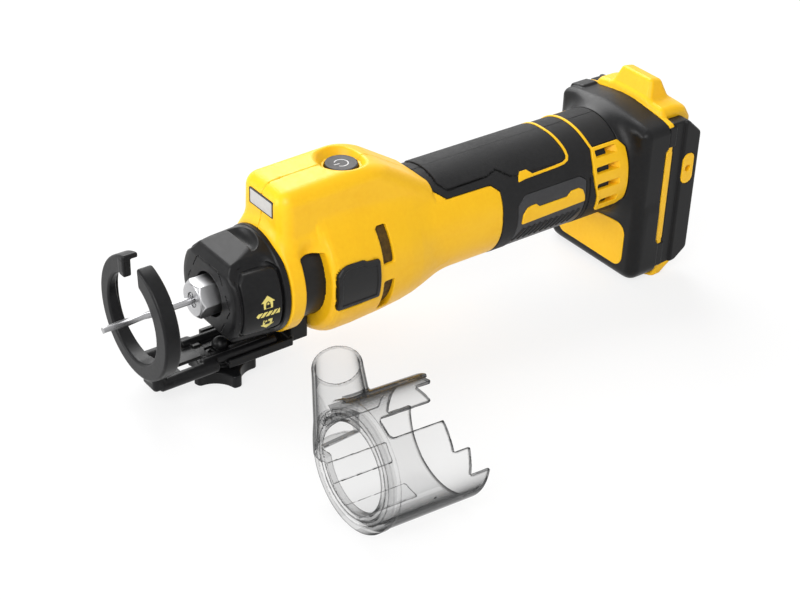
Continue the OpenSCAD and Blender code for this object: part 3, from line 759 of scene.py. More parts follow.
@dataclass(frozen=True)
class ClearFinish(Finish):
    """Clear moulded plastic whose edges and steep walls are painted dark, as refraction would show them.

    Args:
        axis_at: A point of the round wall's axis.
        axis_way: Direction of that axis.
        wall_r: Radius within which cut edges are looked for.
        front: Where the cut edges start along the axis.
        body: Cover of a wall that is seen square on.
        steep: Painted dark cover added where a wall is seen along its face.
        power: How fast that cover falls off.
        rim: Painted dark cover added on sharp edges.
        cut: Painted dark cover added on cut edges.
    """

    axis_at: Place = (0.0, 0.0, 0.0)
    axis_way: Place = (1.0, 0.0, 0.0)
    wall_r: float = 33.4
    front: float = 5.0
    body: float = 0.06
    steep: float = 2.6
    power: float = 4.0
    rim: float = 0.75
    cut: float = 0.5

    def wire(self, bench: Bench, shader: bpy.types.Node) -> None:
        """Links the clear look, with its painted dark edges, to the shader.

        Args:
            bench: The material's nodes.
            shader: Its Principled node.
        """
        super().wire(bench, shader)
        along = bench.out("ShaderNodeLayerWeight", {"Blend": 0.5}, "Facing")
        steep = bench.math("MULTIPLY_ADD", bench.math("POWER", along, self.power), self.steep, self.body)
        point = bench.out("ShaderNodeNewGeometry", output="Pointiness")
        edge = bench.spread(point, 0.515, 0.6, 0.0, self.rim)
        sizes = {
            "Point": [value * MM for value in self.axis_at],
            "Way": self.axis_way,
            "Radius": self.wall_r * MM,
            "Front": self.front * MM,
        }
        wall = bench.out("ShaderNodeGroup", sizes, "Edge", node_tree=wall_edge_group())
        cuts = bench.math("MULTIPLY_ADD", wall, self.cut, edge)
        bench.fill(shader, {"Alpha": bench.math("ADD", steep, cuts, clamp=True)})


def sheen(level: float) -> dict[str, float]:
    """Shader values of a plastic, by the strength of its reflections."""
    return {"Specular IOR Level": level}


SHROUD_AT: Place = (34.7, -142.8, -17.3)
METAL = {"Metallic": 1.0}
RUBBED_BLACK: Colour = (0.03, 0.03, 0.03)

YELLOW = Finish(
    "yellow_moulding", "yellow_plastic", (0.95, 0.54, 0.008), (0.92, 0.5, 0.006), (0.97, 0.6, 0.03),
    (0.34, 0.46), grain=1500.0, depth=0.012, sockets=sheen(0.3),
)
RUBBER = Finish(
    "grip_rubber", "black_rubber", (0.009, 0.009, 0.0095), (0.016, 0.016, 0.0165), RUBBED_BLACK,
    (0.5, 0.66), grain=1900.0, depth=0.16, sockets=sheen(0.18),
)
SMOOTH_RUBBER = Finish(
    "smooth_rubber", "black_rubber", (0.007, 0.007, 0.0075), (0.011, 0.011, 0.0115), RUBBED_BLACK,
    (0.38, 0.5), grain=1500.0, depth=0.015, sockets=sheen(0.3),
)
BLACK = Finish(
    "black_moulding", "black_plastic", (0.006, 0.006, 0.0065), (0.009, 0.009, 0.0095), RUBBED_BLACK,
    (0.3, 0.42), grain=1600.0, depth=0.014, sockets=sheen(0.18),
)
GREY = Finish(
    "grey_moulding", "grey_plastic", (0.02, 0.02, 0.022), (0.027, 0.027, 0.03), (0.06, 0.06, 0.06),
    (0.4, 0.5), grain=1600.0, depth=0.012, sockets=sheen(0.25),
)
DARK_GREY = Finish(
    "dark_grey_moulding", "black_plastic", (0.03, 0.03, 0.032), (0.04, 0.04, 0.043), (0.07, 0.07, 0.07),
    (0.4, 0.52), grain=1600.0, depth=0.012, sockets=sheen(0.3),
)
# Brown sheets inside the vents: painted shade of the yellow room behind them
PAINTED_VENT_SHADE = Finish(
    "vent_screen", "black_plastic", (0.1, 0.055, 0.008), (0.03, 0.017, 0.004), (0.05, 0.03, 0.01),
    (0.5, 0.65), grain=900.0, depth=0.3, sockets=sheen(0.2),
)
WHITE_PRINT = Finish(
    "white_print", "grey_plastic", (0.62, 0.62, 0.63), (0.55, 0.55, 0.56), (0.5, 0.5, 0.5),
    (0.4, 0.5), depth=0.004,
)
YELLOW_PRINT = Finish(
    "yellow_print", "black_plastic", (0.83, 0.72, 0.2), (0.75, 0.63, 0.16), (0.6, 0.5, 0.12),
    (0.4, 0.5), depth=0.004,
)
BRIGHT = Finish(
    "ground_steel", "bright_steel", (0.4, 0.4, 0.41), (0.34, 0.34, 0.35), (0.55, 0.55, 0.55),
    (0.26, 0.34), grain=500.0, depth=0.0002, stretch=(1.0, 6.0, 6.0), sockets=METAL,
)
SATIN = Finish(
    "satin_steel", "bright_steel", (0.58, 0.58, 0.59), (0.54, 0.54, 0.55), (0.66, 0.66, 0.66),
    (0.3, 0.34), grain=300.0, depth=0.0, sockets=METAL,
)
STEEL = Finish(
    "plain_steel", "dark_steel", (0.42, 0.43, 0.44), (0.33, 0.33, 0.34), (0.6, 0.6, 0.61),
    (0.26, 0.42), grain=700.0, depth=0.006, stretch=(1.0, 8.0, 8.0), sockets=METAL,
)
COPPER = Finish(
    "winding_copper", "copper", (0.62, 0.24, 0.1), (0.45, 0.15, 0.06), (0.8, 0.42, 0.22),
    (0.25, 0.4), grain=1100.0, depth=0.2, stretch=(0.1, 1.0, 1.0), sockets=METAL,
)
BRASS = Finish(
    "stamped_brass", "blade_brass", (0.72, 0.52, 0.2), (0.6, 0.4, 0.14), (0.85, 0.68, 0.35),
    (0.2, 0.34), grain=800.0, depth=0.004, stretch=(1.0, 5.0, 1.0), sockets=METAL,
)
ALUMINIUM = Finish(
    "cast_aluminium", "sink_aluminium", (0.7, 0.71, 0.72), (0.6, 0.61, 0.62), (0.82, 0.82, 0.83),
    (0.3, 0.45), grain=900.0, depth=0.01, sockets=METAL,
)
BOARD = Finish(
    "coated_board", "circuit_board", (0.012, 0.085, 0.03), (0.03, 0.13, 0.05), (0.3, 0.22, 0.08),
    (0.28, 0.5), grain=420.0, depth=0.08,
)
WIRE = Finish(
    "wire_sleeving", "wire_cover", (0.32, 0.012, 0.01), (0.24, 0.01, 0.008), (0.42, 0.05, 0.04),
    (0.35, 0.5), depth=0.01,
)
LENS = Finish(
    "milky_lens", "frosted_lens", (0.56, 0.54, 0.52), (0.48, 0.46, 0.44), (0.6, 0.59, 0.57),
    (0.3, 0.45), grain=900.0, depth=0.03, sockets={"Transmission Weight": 0.08, "IOR": 1.45},
)
# Clear plastic whose dark edges and steep walls are painted, standing in for refraction and inner reflection
CLEAR = ClearFinish(
    "clear_moulding", "clear_plastic", (0.03, 0.031, 0.032), (0.045, 0.046, 0.047), (0.06, 0.06, 0.06),
    (0.08, 0.14), grain=60.0, depth=0.02, sockets=sheen(0.04),
    axis_at=SHROUD_AT, axis_way=(math.cos(LIE_TILT), 0.0, -math.sin(LIE_TILT)),
)


# Pieces and sub-assemblies


def shown(name: str, data: bpy.types.ID) -> bpy.types.Object:
    """Puts a new object into the scene.

    Args:
        name: Name of the object.
        data: Its mesh, camera or light.
    Returns:
        The object.
    """
    made = bpy.data.objects.new(name, data)
    bpy.context.scene.collection.objects.link(made)
    return made


@dataclass
class Piece:
    """A meshed piece, its finish and what carries it.

    Args:
        name: Name of the piece.
        mesh: Its mesh in metres.
        finish: Its finish.
        body: The body that it rides on.
        stands_for: The frame's nodes that it replaces.
    """

    name: str
    mesh: bpy.types.Mesh
    finish: Finish
    body: Body
    stands_for: tuple[str, ...] = ()

    @classmethod
    def carved(cls, name: str, solid: Solid, room: Net, finish: Finish, body: Body, *nodes: str) -> Piece:
        """Meshes a solid as a piece that stands for nodes of the frame."""
        return cls(name, room.mesh(name, solid), finish, body, nodes)

    def place(self) -> None:
        """Puts the piece into the scene and on its body."""
        made = shown(self.name, self.mesh)
        self.mesh.materials.clear()
        self.mesh.materials.append(self.finish.material())
        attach(made, self.body.value)
        if self.stands_for:
            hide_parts(*self.stands_for)
        LOG.info("%s: %d faces on %s", self.name, len(self.mesh.polygons), self.body.value)


class SubAssembly:
    """A group of pieces that is built and dressed together."""

    def build(self) -> list[Piece]:
        """Meshes the pieces of this group."""
        return []

    def kept(self) -> dict[str, Finish]:
        """The frame's nodes that stay, with their finishes."""
        return {}

    def dress(self, nodes: Mapping[str, bpy.types.Object]) -> None:
        """Places the built pieces and finishes the nodes that stay.

        Args:
            nodes: The frame's node objects by name.
        """
        for piece in self.build():
            piece.place()
        for name, finish in self.kept().items():
            for held in nodes[name].material_slots:
                held.material = finish.material()
            LOG.info("%s: kept in %s", name, finish.name)


PANEL_EDGE: tuple[Point, ...] = (
    (150, 75), (172.95, 75), (172.95, 58), (181, 41.5), (211, 40.5), (215.7, 31), (215.7, -95), (150, -95),
)
LOUVRE_EDGE: tuple[Point, ...] = (
    (287.2, -34.5), (285.6, -14), (283, 3), (282, 17), (283, 33), (284.6, 44), (304.6, 44), (308.4, 34),
    (308.4, -28), (303.5, -34.5),
)
# Height and front end of each louvre
LOUVRE_SLOTS: tuple[Point, ...] = ((22.6, 286), (14.2, 284.4), (4.3, 284.8), (-6.8, 288))
INSERT_EDGE: tuple[Point, ...] = ((226.5, -95), (226.5, 8), (232, 18.7), (272, 18.7), (277, 12), (277, -95))
PLATE_EDGE: tuple[Point, ...] = (
    (229.4, -15.5), (230, -4), (233, 3), (236.4, 4.4), (239.4, 4.4), (242, 0), (262, 0), (265, 5.2),
    (271, 5.6), (274, 2), (275.6, -5), (276.4, -13),
)
PAD_EDGE: tuple[Point, ...] = (
    (100.2, -11.8), (127.3, -11.8), (127.3, 11.4), (119.5, 12.2), (117.2, 13.8), (107, 14.2), (103.8, 13),
    (100.2, 9.6),
)
SCREWS: tuple[Point, ...] = (
    (96.55, 46), (105.95, -30.5), (194.95, 20), (194.95, -11), (260.95, 20), (260.95, -11),
)


@dataclass
class Housing(SubAssembly):
    """The two yellow halves of the body, with their head, panel and openings."""

    head_front: float = 76.45
    head_top: float = 56.7
    head_half: float = 20.5
    core_r: float = 28.0
    panel_r: float = 29.8
    drum_room_r: float = 27.55
    window: Point = (84.55, 98.2)
    window_top: float = 19.6
    vent: Point = (130.2, 137.2)
    dish_r: float = 10.5
    dish_floor: float = 51.5
    dish_flare: float = 0.78
    screw_r: float = 1.85
    barrel: tuple[Point, ...] = (
        (75.9, 31), (88, 31.2), (93, 32), (97, 33.4), (98.6, 34.9), (100.2, 36.2), (102.4, 36.8), (116, 36.8),
        (137, 35.7), (150, 34.5), (158, 33.2), (164, 31.7), (168, 30.6), (173, 29.2), (179, 27.6),
        (186, 25.9), (194, 24.4), (204, 23.5),
    )

    def outside(self) -> Solid:
        """The outside form of both halves.

        Returns:
            The form, without its openings.
        """
        round_form = turned(self.barrel)
        barrel = Solid(lambda p: round_form.dist(p) - self.sag(p)).keep(slab(Axis.X, 75.95, 203), 1.2)
        head = past(Axis.X, self.head_front).keep(behind((126, 0, self.head_top), (-0.035, 0, 1)), 8)
        head = head.keep(behind((139.4, 0, 55.9), (22, 0, 35)), 7)
        side = behind((0, -self.head_half, 40), (0, -1, 0.045)).both_sides()
        head = head.keep(side, 8).keep(past(Axis.Z, -8)).keep(slab(Axis.X, 70, 176))
        panel = grip_rod(150, 217, self.panel_r).keep(wrapped(PANEL_EDGE, 2.5), 0.6)
        limit = slab(Axis.X, 60, 172.95).join(up_to(Axis.Z, 24.5))
        form = barrel.join(head, 7).keep(limit, 0.4).join(panel, 1.5)
        return form.join(grip_rod(165, 311.9, self.core_r))

    @staticmethod
    def sag(p: Array) -> Array:
        """How far the barrel's lower side sags behind the window."""
        return 2.6 * np.clip(-p[:, 2] / 36, 0, 1) * np.clip((p[:, 0] - 97) / 8, 0, 1)

    def hollow(self) -> Solid:
        """The room inside both halves.

        Returns:
            The rooms of drum, motor, rear bearing, leads, grip and switch as one.
        """
        motor = turned(((99.8, 33), (136, 32.8), (150, 31.2), (158, 29.4))).keep(slab(Axis.X, 99.9, 156.95))
        return joined((
            rod(Axis.X, 70, 99.95, self.drum_room_r),
            motor.cut(self.ribs()),
            rod(Axis.X, 156, 164.95, 11.05),
            rod(Axis.X, 163, 168, 9),
            grip_rod(165.95, 330, 25),
            block((143.55, -7, 24.5), (170, 7, 29.5)),
            block((79.95, -15, 30), (137.8, 15, 51.6), 3).cut(self.well()),
        ))

    def ribs(self) -> Solid:
        """Rings that hold the stator."""
        rings = rod(Axis.X, 112.95, 115.95, 60).join(rod(Axis.X, 137.95, 140.95, 60))
        return rings.cut(rod(Axis.X, 90, 160, 25.05))

    def well(self) -> Solid:
        """Wall round the power button and blocks beside the switch."""
        wall = rod(Axis.Z, 48.5, 60, 15.3, (BUTTON_X, 0))
        return wall.join(block((119.5, -30, 20), (133.5, -8.05, 41)).both_sides())

    def openings(self) -> Solid:
        """What is cut from both halves alike.

        Returns:
            The vents, pad pockets, lens seat, button hole and louvre room as one.
        """
        pocket = prism(Axis.Y, PAD_EDGE, 1.4).grown(0.25).keep(slab(Axis.Y, -60, -34.35))
        room = wrapped(oblong((286.8, -31), (301.8, 41))).keep(grip_rod(286, 302, 40))
        return joined((
            self.vents(),
            pocket.both_sides(),
            block((70, -10.85, 39.85), (80, 10.85, 48.65), 0.8),
            rod(Axis.Z, 41, 70, 9.25, (BUTTON_X, 0)),
            room.cut(grip_rod(280, 310, 20)),
        ))

    def vents(self) -> Solid:
        """The motor's vents, on both sides.

        Returns:
            Both vents of each side as one.
        """
        front, back = self.vent
        high = block((front, -60, 6.2), (back, -16, 25), 1.2)
        return high.join(block((front, -60, -23.5), (back, -16, -3.6), 1.2)).both_sides()

    def screen(self) -> Solid:
        """Dark brown sheets that lie back inside the vents, as painted shade of the room behind them."""
        skin = turned(self.barrel)
        return self.vents().keep(skin.grown(-1.5)).cut(skin.grown(-2.4))

    def dish(self) -> Solid:
        """The dish round the power button.

        Returns:
            A cone that opens upwards.
        """
        lean = 0.79

        def distance(p: Array) -> Array:
            """Distance to the cone."""
            reach = np.hypot(p[:, 0] - BUTTON_X, p[:, 1]) - self.dish_r
            return (reach - (p[:, 2] - self.dish_floor) * self.dish_flare) * lean

        return Solid(distance).keep(past(Axis.Z, self.dish_floor))

    def half(self, side: Side) -> Solid:
        """One half of the body.

        Args:
            side: Which half.
        Returns:
            The half as a solid.
        """
        hollow = ball((90.4, -31, 23), (8, 9.3, 8)).both_sides()
        form = self.outside().cut(self.dish(), 1.4).cut(hollow, 2.4)
        gap = block((self.window[0], -60, -60), (self.window[1], 60, self.window_top), 0.8)
        form = form.cut(gap, 1.1).cut(self.hollow()).cut(self.openings(), 0.5)
        for at in SCREWS:
            form = form.cut(rod(Axis.Y, -11, 12, self.screw_r, at))
            if side is Side.RIGHT:
                form = form.cut(rod(Axis.Y, 8.95, 80, SCREW_HEAD_R, at), 0.4)
        return form.keep(side.room(0.04), 0.45)

    def build(self) -> list[Piece]:
        """Meshes both halves and the sheets of painted shade in the vents.

        Returns:
            The pieces.
        """
        made = []
        for side in Side:
            low, high = side.span(-0.5, 38)
            room = Net((75, low, -41), (313, high, 58), 0.95)
            name, node = f"housing_half_{side.word}", f"housing_{side.word}"
            made.append(Piece.carved(name, self.half(side), room, YELLOW, Body.TOOL, node))
        room = Net((129.5, -37, -25), (138, 37, 26.5), 0.42)
        return made + [Piece.carved("vent_screens", self.screen(), room, PAINTED_VENT_SHADE, Body.TOOL)]

    def kept(self) -> dict[str, Finish]:
        """Screws that hold the halves together."""
        return {"housing_screws": STEEL}


@dataclass
class SidePads(SubAssembly):
    """Black pads on the barrel."""

    crown_r: float = 38.0
    seat: float = 34.4
    frame_w: float = 2.6
    sunk: float = 0.55

    def build(self) -> list[Piece]:
        """Meshes both pads.

        Returns:
            The pieces.
        """
        outline = prism(Axis.Y, PAD_EDGE, 1.2)
        form = outline.keep(rod(Axis.X, 90, 140, self.crown_r), 1.1)
        face = rod(Axis.X, 90, 140, self.crown_r - self.sunk)
        form = form.cut(outline.grown(-self.frame_w).cut(face), 0.4)
        made = []
        for side in Side:
            low, high = side.span(34, 39)
            room = Net((100, low, -12.5), (128, high, 15), 0.4)
            pad = form.keep(side.room(self.seat))
            name, node = f"barrel_pad_{side.word}", f"side_pad_{side.word}"
            made.append(Piece.carved(name, pad, room, SMOOTH_RUBBER, Body.TOOL, node))
        return made


@dataclass
class Grip(SubAssembly):
    """The rubber grip with its raised zone, inlays, plates and vents."""

    core_r: float = 28.05
    front: float = 173.0
    back: float = 304.95
    raised_r: float = 30.55
    line_half: float = 0.8
    groove_half: float = 0.3
    slot_half: float = 1.9
    slot_end: float = 301.6
    ramp_x: float = 294.6
    rib_count: int = 11
    rib_pitch: float = 4.1
    rib_first: float = 233.0
    rib_start: float = 19.5
    rib_sweep: float = 17.5
    zone: tuple[Point, ...] = (
        (179.5, 95), (179.5, 60), (183.5, 51), (211, 51.5), (218, 56), (227, 41.5), (262, 40.2), (265.4, 47),
        (264.8, 70), (263.6, 95),
    )
    joint: tuple[Point, ...] = ((179.2, 95), (179.2, 60), (183.2, 50), (211, 50.4), (218, 54.8), (226, 42))
    tab: tuple[Point, ...] = (
        (228.8, 33.5), (231.4, 44.5), (236.6, 44.5), (239.6, 38.6), (239.6, 36.2), (236, 35.4),
    )
    line: tuple[Point, ...] = (
        (233, 36.4), (256, 37.2), (262.6, 38), (265.8, 40.4), (266.9, 44.5), (267.1, 51), (266.6, 61),
        (266, 72), (265.3, 84), (265, 95),
    )
    arc: tuple[Point, ...] = ((285.2, 42), (284.3, 48), (283.7, 56), (283.3, 66), (283, 76), (282.8, 95))

    def shell(self) -> Solid:
        """The rubber round the core, with its raised zone.

        Returns:
            The rubber of both sides.
        """
        skin = grip_rod(self.front, self.back, GRIP_R, 0.8)
        zone = grip_rod(self.front, self.back, self.raised_r).keep(wrapped(self.zone, 3), 0.5)
        skin = skin.join(zone).cut(grip_rod(160, 320, self.core_r))
        skin = skin.cut(wrapped(PANEL_EDGE, 2.5).grown(0.12), 0.5)
        skin = skin.cut(wrapped(LOUVRE_EDGE, 2).grown(0.12), 0.4)
        recess = wrapped(INSERT_EDGE, 2.5).cut(grip_rod(200, 300, 29.3))
        return skin.cut(recess, 0.5).cut(self.joints())

    def joints(self) -> Solid:
        """Grooves between the rubber's zones.

        Returns:
            The groove round the raised zone and the one near the louvres.
        """
        groove = wrapped_bead(self.joint, self.groove_half).cut(grip_rod(170, 300, 29.2))
        end = wrapped_bead([(279.6, -95), (279.6, 12)], self.groove_half).cut(grip_rod(170, 310, 29.3))
        return groove.join(end)

    def half(self, side: Side) -> Solid:
        """One half of the rubber.

        Args:
            side: Which half.
        Returns:
            The half as a solid.
        """
        form = self.shell()
        if side is Side.RIGHT:
            for at in SCREWS:
                form = form.cut(rod(Axis.Y, 8, 80, SCREW_HEAD_R, at), 0.3)
        return form.keep(side.room(-0.15))

    def inlay(self) -> Solid:
        """Thin yellow inlays on both sides.

        Returns:
            The line, its tab and the arc behind it.
        """
        form = wrapped_bead(self.line, self.line_half).join(wrapped(self.tab, 0.6))
        form = form.join(wrapped_bead(self.arc, self.line_half))
        return form.keep(grip_rod(200, 300, 30.62), 0.25).cut(grip_rod(190, 310, 28.6))

    def louvres(self) -> Solid:
        """The vent panel, on both sides.

        Returns:
            The panel with its slots and the ramps behind them.
        """
        form = wrapped(LOUVRE_EDGE, 2).keep(grip_rod(280, 312, 30.9), 0.6)
        form = form.cut(grip_rod(270, 320, self.core_r))
        room = wrapped(oblong((self.ramp_x, -30), (301.4, 40)))
        form = form.join(room.keep(grip_rod(280, 310, 30)).cut(grip_rod(270, 320, 22)))
        ramp = Solid(lambda p: 22.0 + (p[:, 0] - self.ramp_x) * 1.2 - grip_radius(p))
        return form.cut(self.slots(self.slot_half).keep(ramp), 0.4)

    def slots(self, half: float) -> Solid:
        """Slots of the vent panel.

        Args:
            half: Half the height of a slot.
        Returns:
            All slots, on both sides.
        """
        rows = ((slab(Axis.Z, z - half, z + half), slab(Axis.X, x, self.slot_end)) for z, x in LOUVRE_SLOTS)
        return joined(high.keep(long, 0.9) for high, long in rows)

    def shade(self) -> Solid:
        """Dark strips at the bottom of the slots, painted shade of the deep slots."""
        form = self.slots(self.slot_half - 0.06).keep(slab(Axis.X, 280, 294.8))
        return form.keep(grip_rod(270, 320, 28.95)).cut(grip_rod(260, 330, 28.1))

    def insert(self) -> Solid:
        """The smooth grey insert behind the plate, on both sides."""
        form = wrapped(INSERT_EDGE, 2.5).grown(-0.15).keep(grip_rod(220, 280, 29.75), 0.35)
        return form.cut(grip_rod(200, 300, 29.0))

    def plate(self) -> Solid:
        """The bare yellow plate, on both sides."""
        return wrapped(PLATE_EDGE, 1.0).keep(grip_rod(220, 282, 30.35), 0.4).cut(grip_rod(200, 300, 29.2))

    def build(self) -> list[Piece]:
        """Meshes the rubber and everything let into it.

        Returns:
            The pieces of both sides.
        """
        made = []
        for side in Side:
            low, high = side.span(-0.5, 31.5)
            cheek = side.room()
            for name, solid, (x0, z0), (x1, z1), step, finish, node in (
                ("rubber", self.half(side), (172, -26), (306, 36.5), 0.75, RUBBER, "grip"),
                ("inlay", self.inlay().keep(cheek), (226, 18), (290, 36.5), 0.42, YELLOW, ""),
                ("insert", self.insert().keep(cheek), (226, -26), (278, 16), 0.6, DARK_GREY, ""),
                ("plate", self.plate().keep(cheek), (228, -6), (280, 10), 0.4, YELLOW, "side_plate"),
                ("louvres", self.louvres().keep(cheek), (281, -17), (309.5, 29), 0.42, YELLOW, "vent_panel"),
                # Black strips in the slots are painted shade
                ("louvre_shade", self.shade().keep(cheek), (283, -10), (296, 26), 0.36, BLACK, ""),
            ):
                room = Net((x0, low, z0), (x1, high, z1), step)
                nodes = (f"{node}_{side.word}",) if node else ()
                made.append(Piece.carved(f"{name}_{side.word}", solid, room, finish, Body.TOOL, *nodes))
            made.append(Piece(f"ribs_{side.word}", self.ribs(side), SMOOTH_RUBBER, Body.TOOL))
        return made

    def ribs(self, side: Side) -> bpy.types.Mesh:
        """Grows the slanted ribs below the plate.

        Args:
            side: Which side.
        Returns:
            The ribs as one mesh.
        """
        left = side is Side.LEFT
        values = {
            "Count": self.rib_count,
            "Pitch": self.rib_pitch * MM,
            "First": self.rib_first * MM,
            "Radius": 30.1 * MM,
            "Axis height": (GRIP_Z - 1.9) * MM,
            "Start": math.radians(180 + self.rib_start if left else -self.rib_start),
            "Sweep": math.radians(self.rib_sweep if left else -self.rib_sweep),
            "Slant": -5.5 * MM,
            "Width": 1.15 * MM,
            "Finish": SMOOTH_RUBBER.material(),
        }
        return grown(f"ribs_{side.word}", rib_tree(), values)


def grown(name: str, tree: bpy.types.NodeTree, values: Mapping[str, Any]) -> bpy.types.Mesh:
    """Runs a geometry tree once and keeps its mesh.

    Args:
        name: Name of the mesh.
        tree: The geometry tree.
        values: Values of its named inputs.
    Returns:
        A plain mesh that faces outwards.
    """
    seed = bpy.data.meshes.new(f"{name}_seed")
    holder = shown(name, seed)
    form = holder.modifiers.new("form", "NODES")
    form.node_group = tree
    for item in tree.interface.items_tree:
        if item.in_out == "INPUT" and item.name in values:
            form[item.identifier] = values[item.name]
    graph = bpy.context.evaluated_depsgraph_get()
    mesh = bpy.data.meshes.new_from_object(holder.evaluated_get(graph))
    bpy.data.objects.remove(holder)
    bpy.data.meshes.remove(seed)
    mesh.name = name
    mesh.calc_loop_triangles()
    corners = np.array([v.co for v in mesh.vertices])
    ids = np.array([t.vertices for t in mesh.loop_triangles])
    a, b, c = (corners[ids[:, i]] for i in range(3))
    if np.sum(a * np.cross(b, c)) < 0:
        mesh.flip_normals()
    return mesh


@cache
def rib_tree() -> bpy.types.NodeTree:
    """Geometry tree of slanted ribs round the grip.

    Returns:
        The tree, with its sizes as named inputs.
    """
    bench = Bench(bpy.data.node_groups.new("slanted_ribs", "GeometryNodeTree"))
    names = ("Pitch", "First", "Radius", "Axis height", "Start", "Sweep", "Slant", "Width")
    kinds = {"Count": "NodeSocketInt", **dict.fromkeys(names, NUMBER), "Finish": "NodeSocketMaterial"}
    start, end = bench.sockets(kinds, {"Ribs": "NodeSocketGeometry"})
    size = start.outputs
    bend = {"Radius": size["Radius"], "Start Angle": size["Start"], "Sweep Angle": size["Sweep"]}
    arc = bench.out("GeometryNodeCurveArc", {"Resolution": 24, **bend})
    stood = bench.out("GeometryNodeTransform", {"Geometry": arc, "Rotation": (math.pi / 2, 0.0, math.pi / 2)})
    drift = bench.math("MULTIPLY", bench.out("GeometryNodeSplineParameter", output="Factor"), size["Slant"])
    shift = bench.out("ShaderNodeCombineXYZ", {"X": drift, "Z": size["Axis height"]})
    leant = bench.out("GeometryNodeSetPosition", {"Geometry": stood, "Offset": shift})
    circle = bench.out("GeometryNodeCurvePrimitiveCircle", {"Resolution": 10, "Radius": size["Width"]})
    bar = bench.swept(leant, circle)
    steps = {"Start Location": bench.along_x(size["First"]), "Offset": bench.along_x(size["Pitch"])}
    row = bench.out("GeometryNodeMeshLine", {"Count": size["Count"], **steps}, mode="OFFSET")
    copies = bench.out("GeometryNodeInstanceOnPoints", {"Points": row, "Instance": bar})
    smooth = bench.out("GeometryNodeSetShadeSmooth", {"Geometry": copies})
    real = bench.out("GeometryNodeRealizeInstances", {"Geometry": smooth})
    done = bench.out("GeometryNodeSetMaterial", {"Geometry": real, "Material": size["Finish"]})
    bench.fill(end, {0: done})
    return bench.tree


@dataclass
class Head(SubAssembly):
    """Power button, work light and switch."""

    button_at: Point = (BUTTON_X, 0.0)
    button_r: float = 8.9
    button_face: float = 53.4
    dish_r: float = 60.0
    mark_r: float = 3.7
    mark_half: float = 0.36

    def cap(self) -> Solid:
        """The button with its dished face and stem.

        Returns:
            The button at rest.
        """
        form = rod(Axis.Z, 46, self.button_face, self.button_r, self.button_at, 1.0)
        hollow = ball((*self.button_at, self.button_face + 59.3), (self.dish_r,) * 3)
        return form.cut(hollow, 0.8).join(rod(Axis.Z, 43, 47, 3, self.button_at), 0.6)

    def mark(self) -> Solid:
        """The on and off sign on the button.

        Returns:
            An open ring and a stroke, as thick as print.
        """
        turns = [math.radians(a) for a in range(-140, 141, 10)]
        x, y = self.button_at
        arc = [(x + self.mark_r * math.cos(a), y + self.mark_r * math.sin(a)) for a in turns]
        stroke = bead(Axis.Z, [(x - 4.4, y), (x - 1.4, y)], self.mark_half)
        face = self.cap().grown(0.05).keep(past(Axis.Z, 51.9))
        return bead(Axis.Z, arc, self.mark_half).join(stroke).keep(face)

    def build(self) -> list[Piece]:
        """Meshes the button, its sign and the lens rim.

        Returns:
            The pieces.
        """
        rim = block((76.1, -11.05, 39.65), (77.2, 11.05, 48.85), 0.5)
        rim = rim.cut(block((70, -10.5, 40.2), (80, 10.5, 48.3), 0.6))
        cap_room = Net((117, -9.5, 42.5), (136, 9.5, 54.2), 0.38)
        sign_room = Net((121, -5, 51.5), (132, 5, 54), 0.18)
        rim_room = Net((75.9, -11.6, 39.2), (77.5, 11.6, 49.3), 0.22)
        return [
            Piece.carved("button_cap", self.cap(), cap_room, GREY, Body.BUTTON, "power_button"),
            Piece.carved("button_sign", self.mark(), sign_room, WHITE_PRINT, Body.BUTTON),
            Piece.carved("lens_rim", rim, rim_room, GREY, Body.TOOL),
        ]

    def kept(self) -> dict[str, Finish]:
        """The light and the switch."""
        return {"switch_module": BLACK, "light_lens": LENS, "light_board": BOARD}


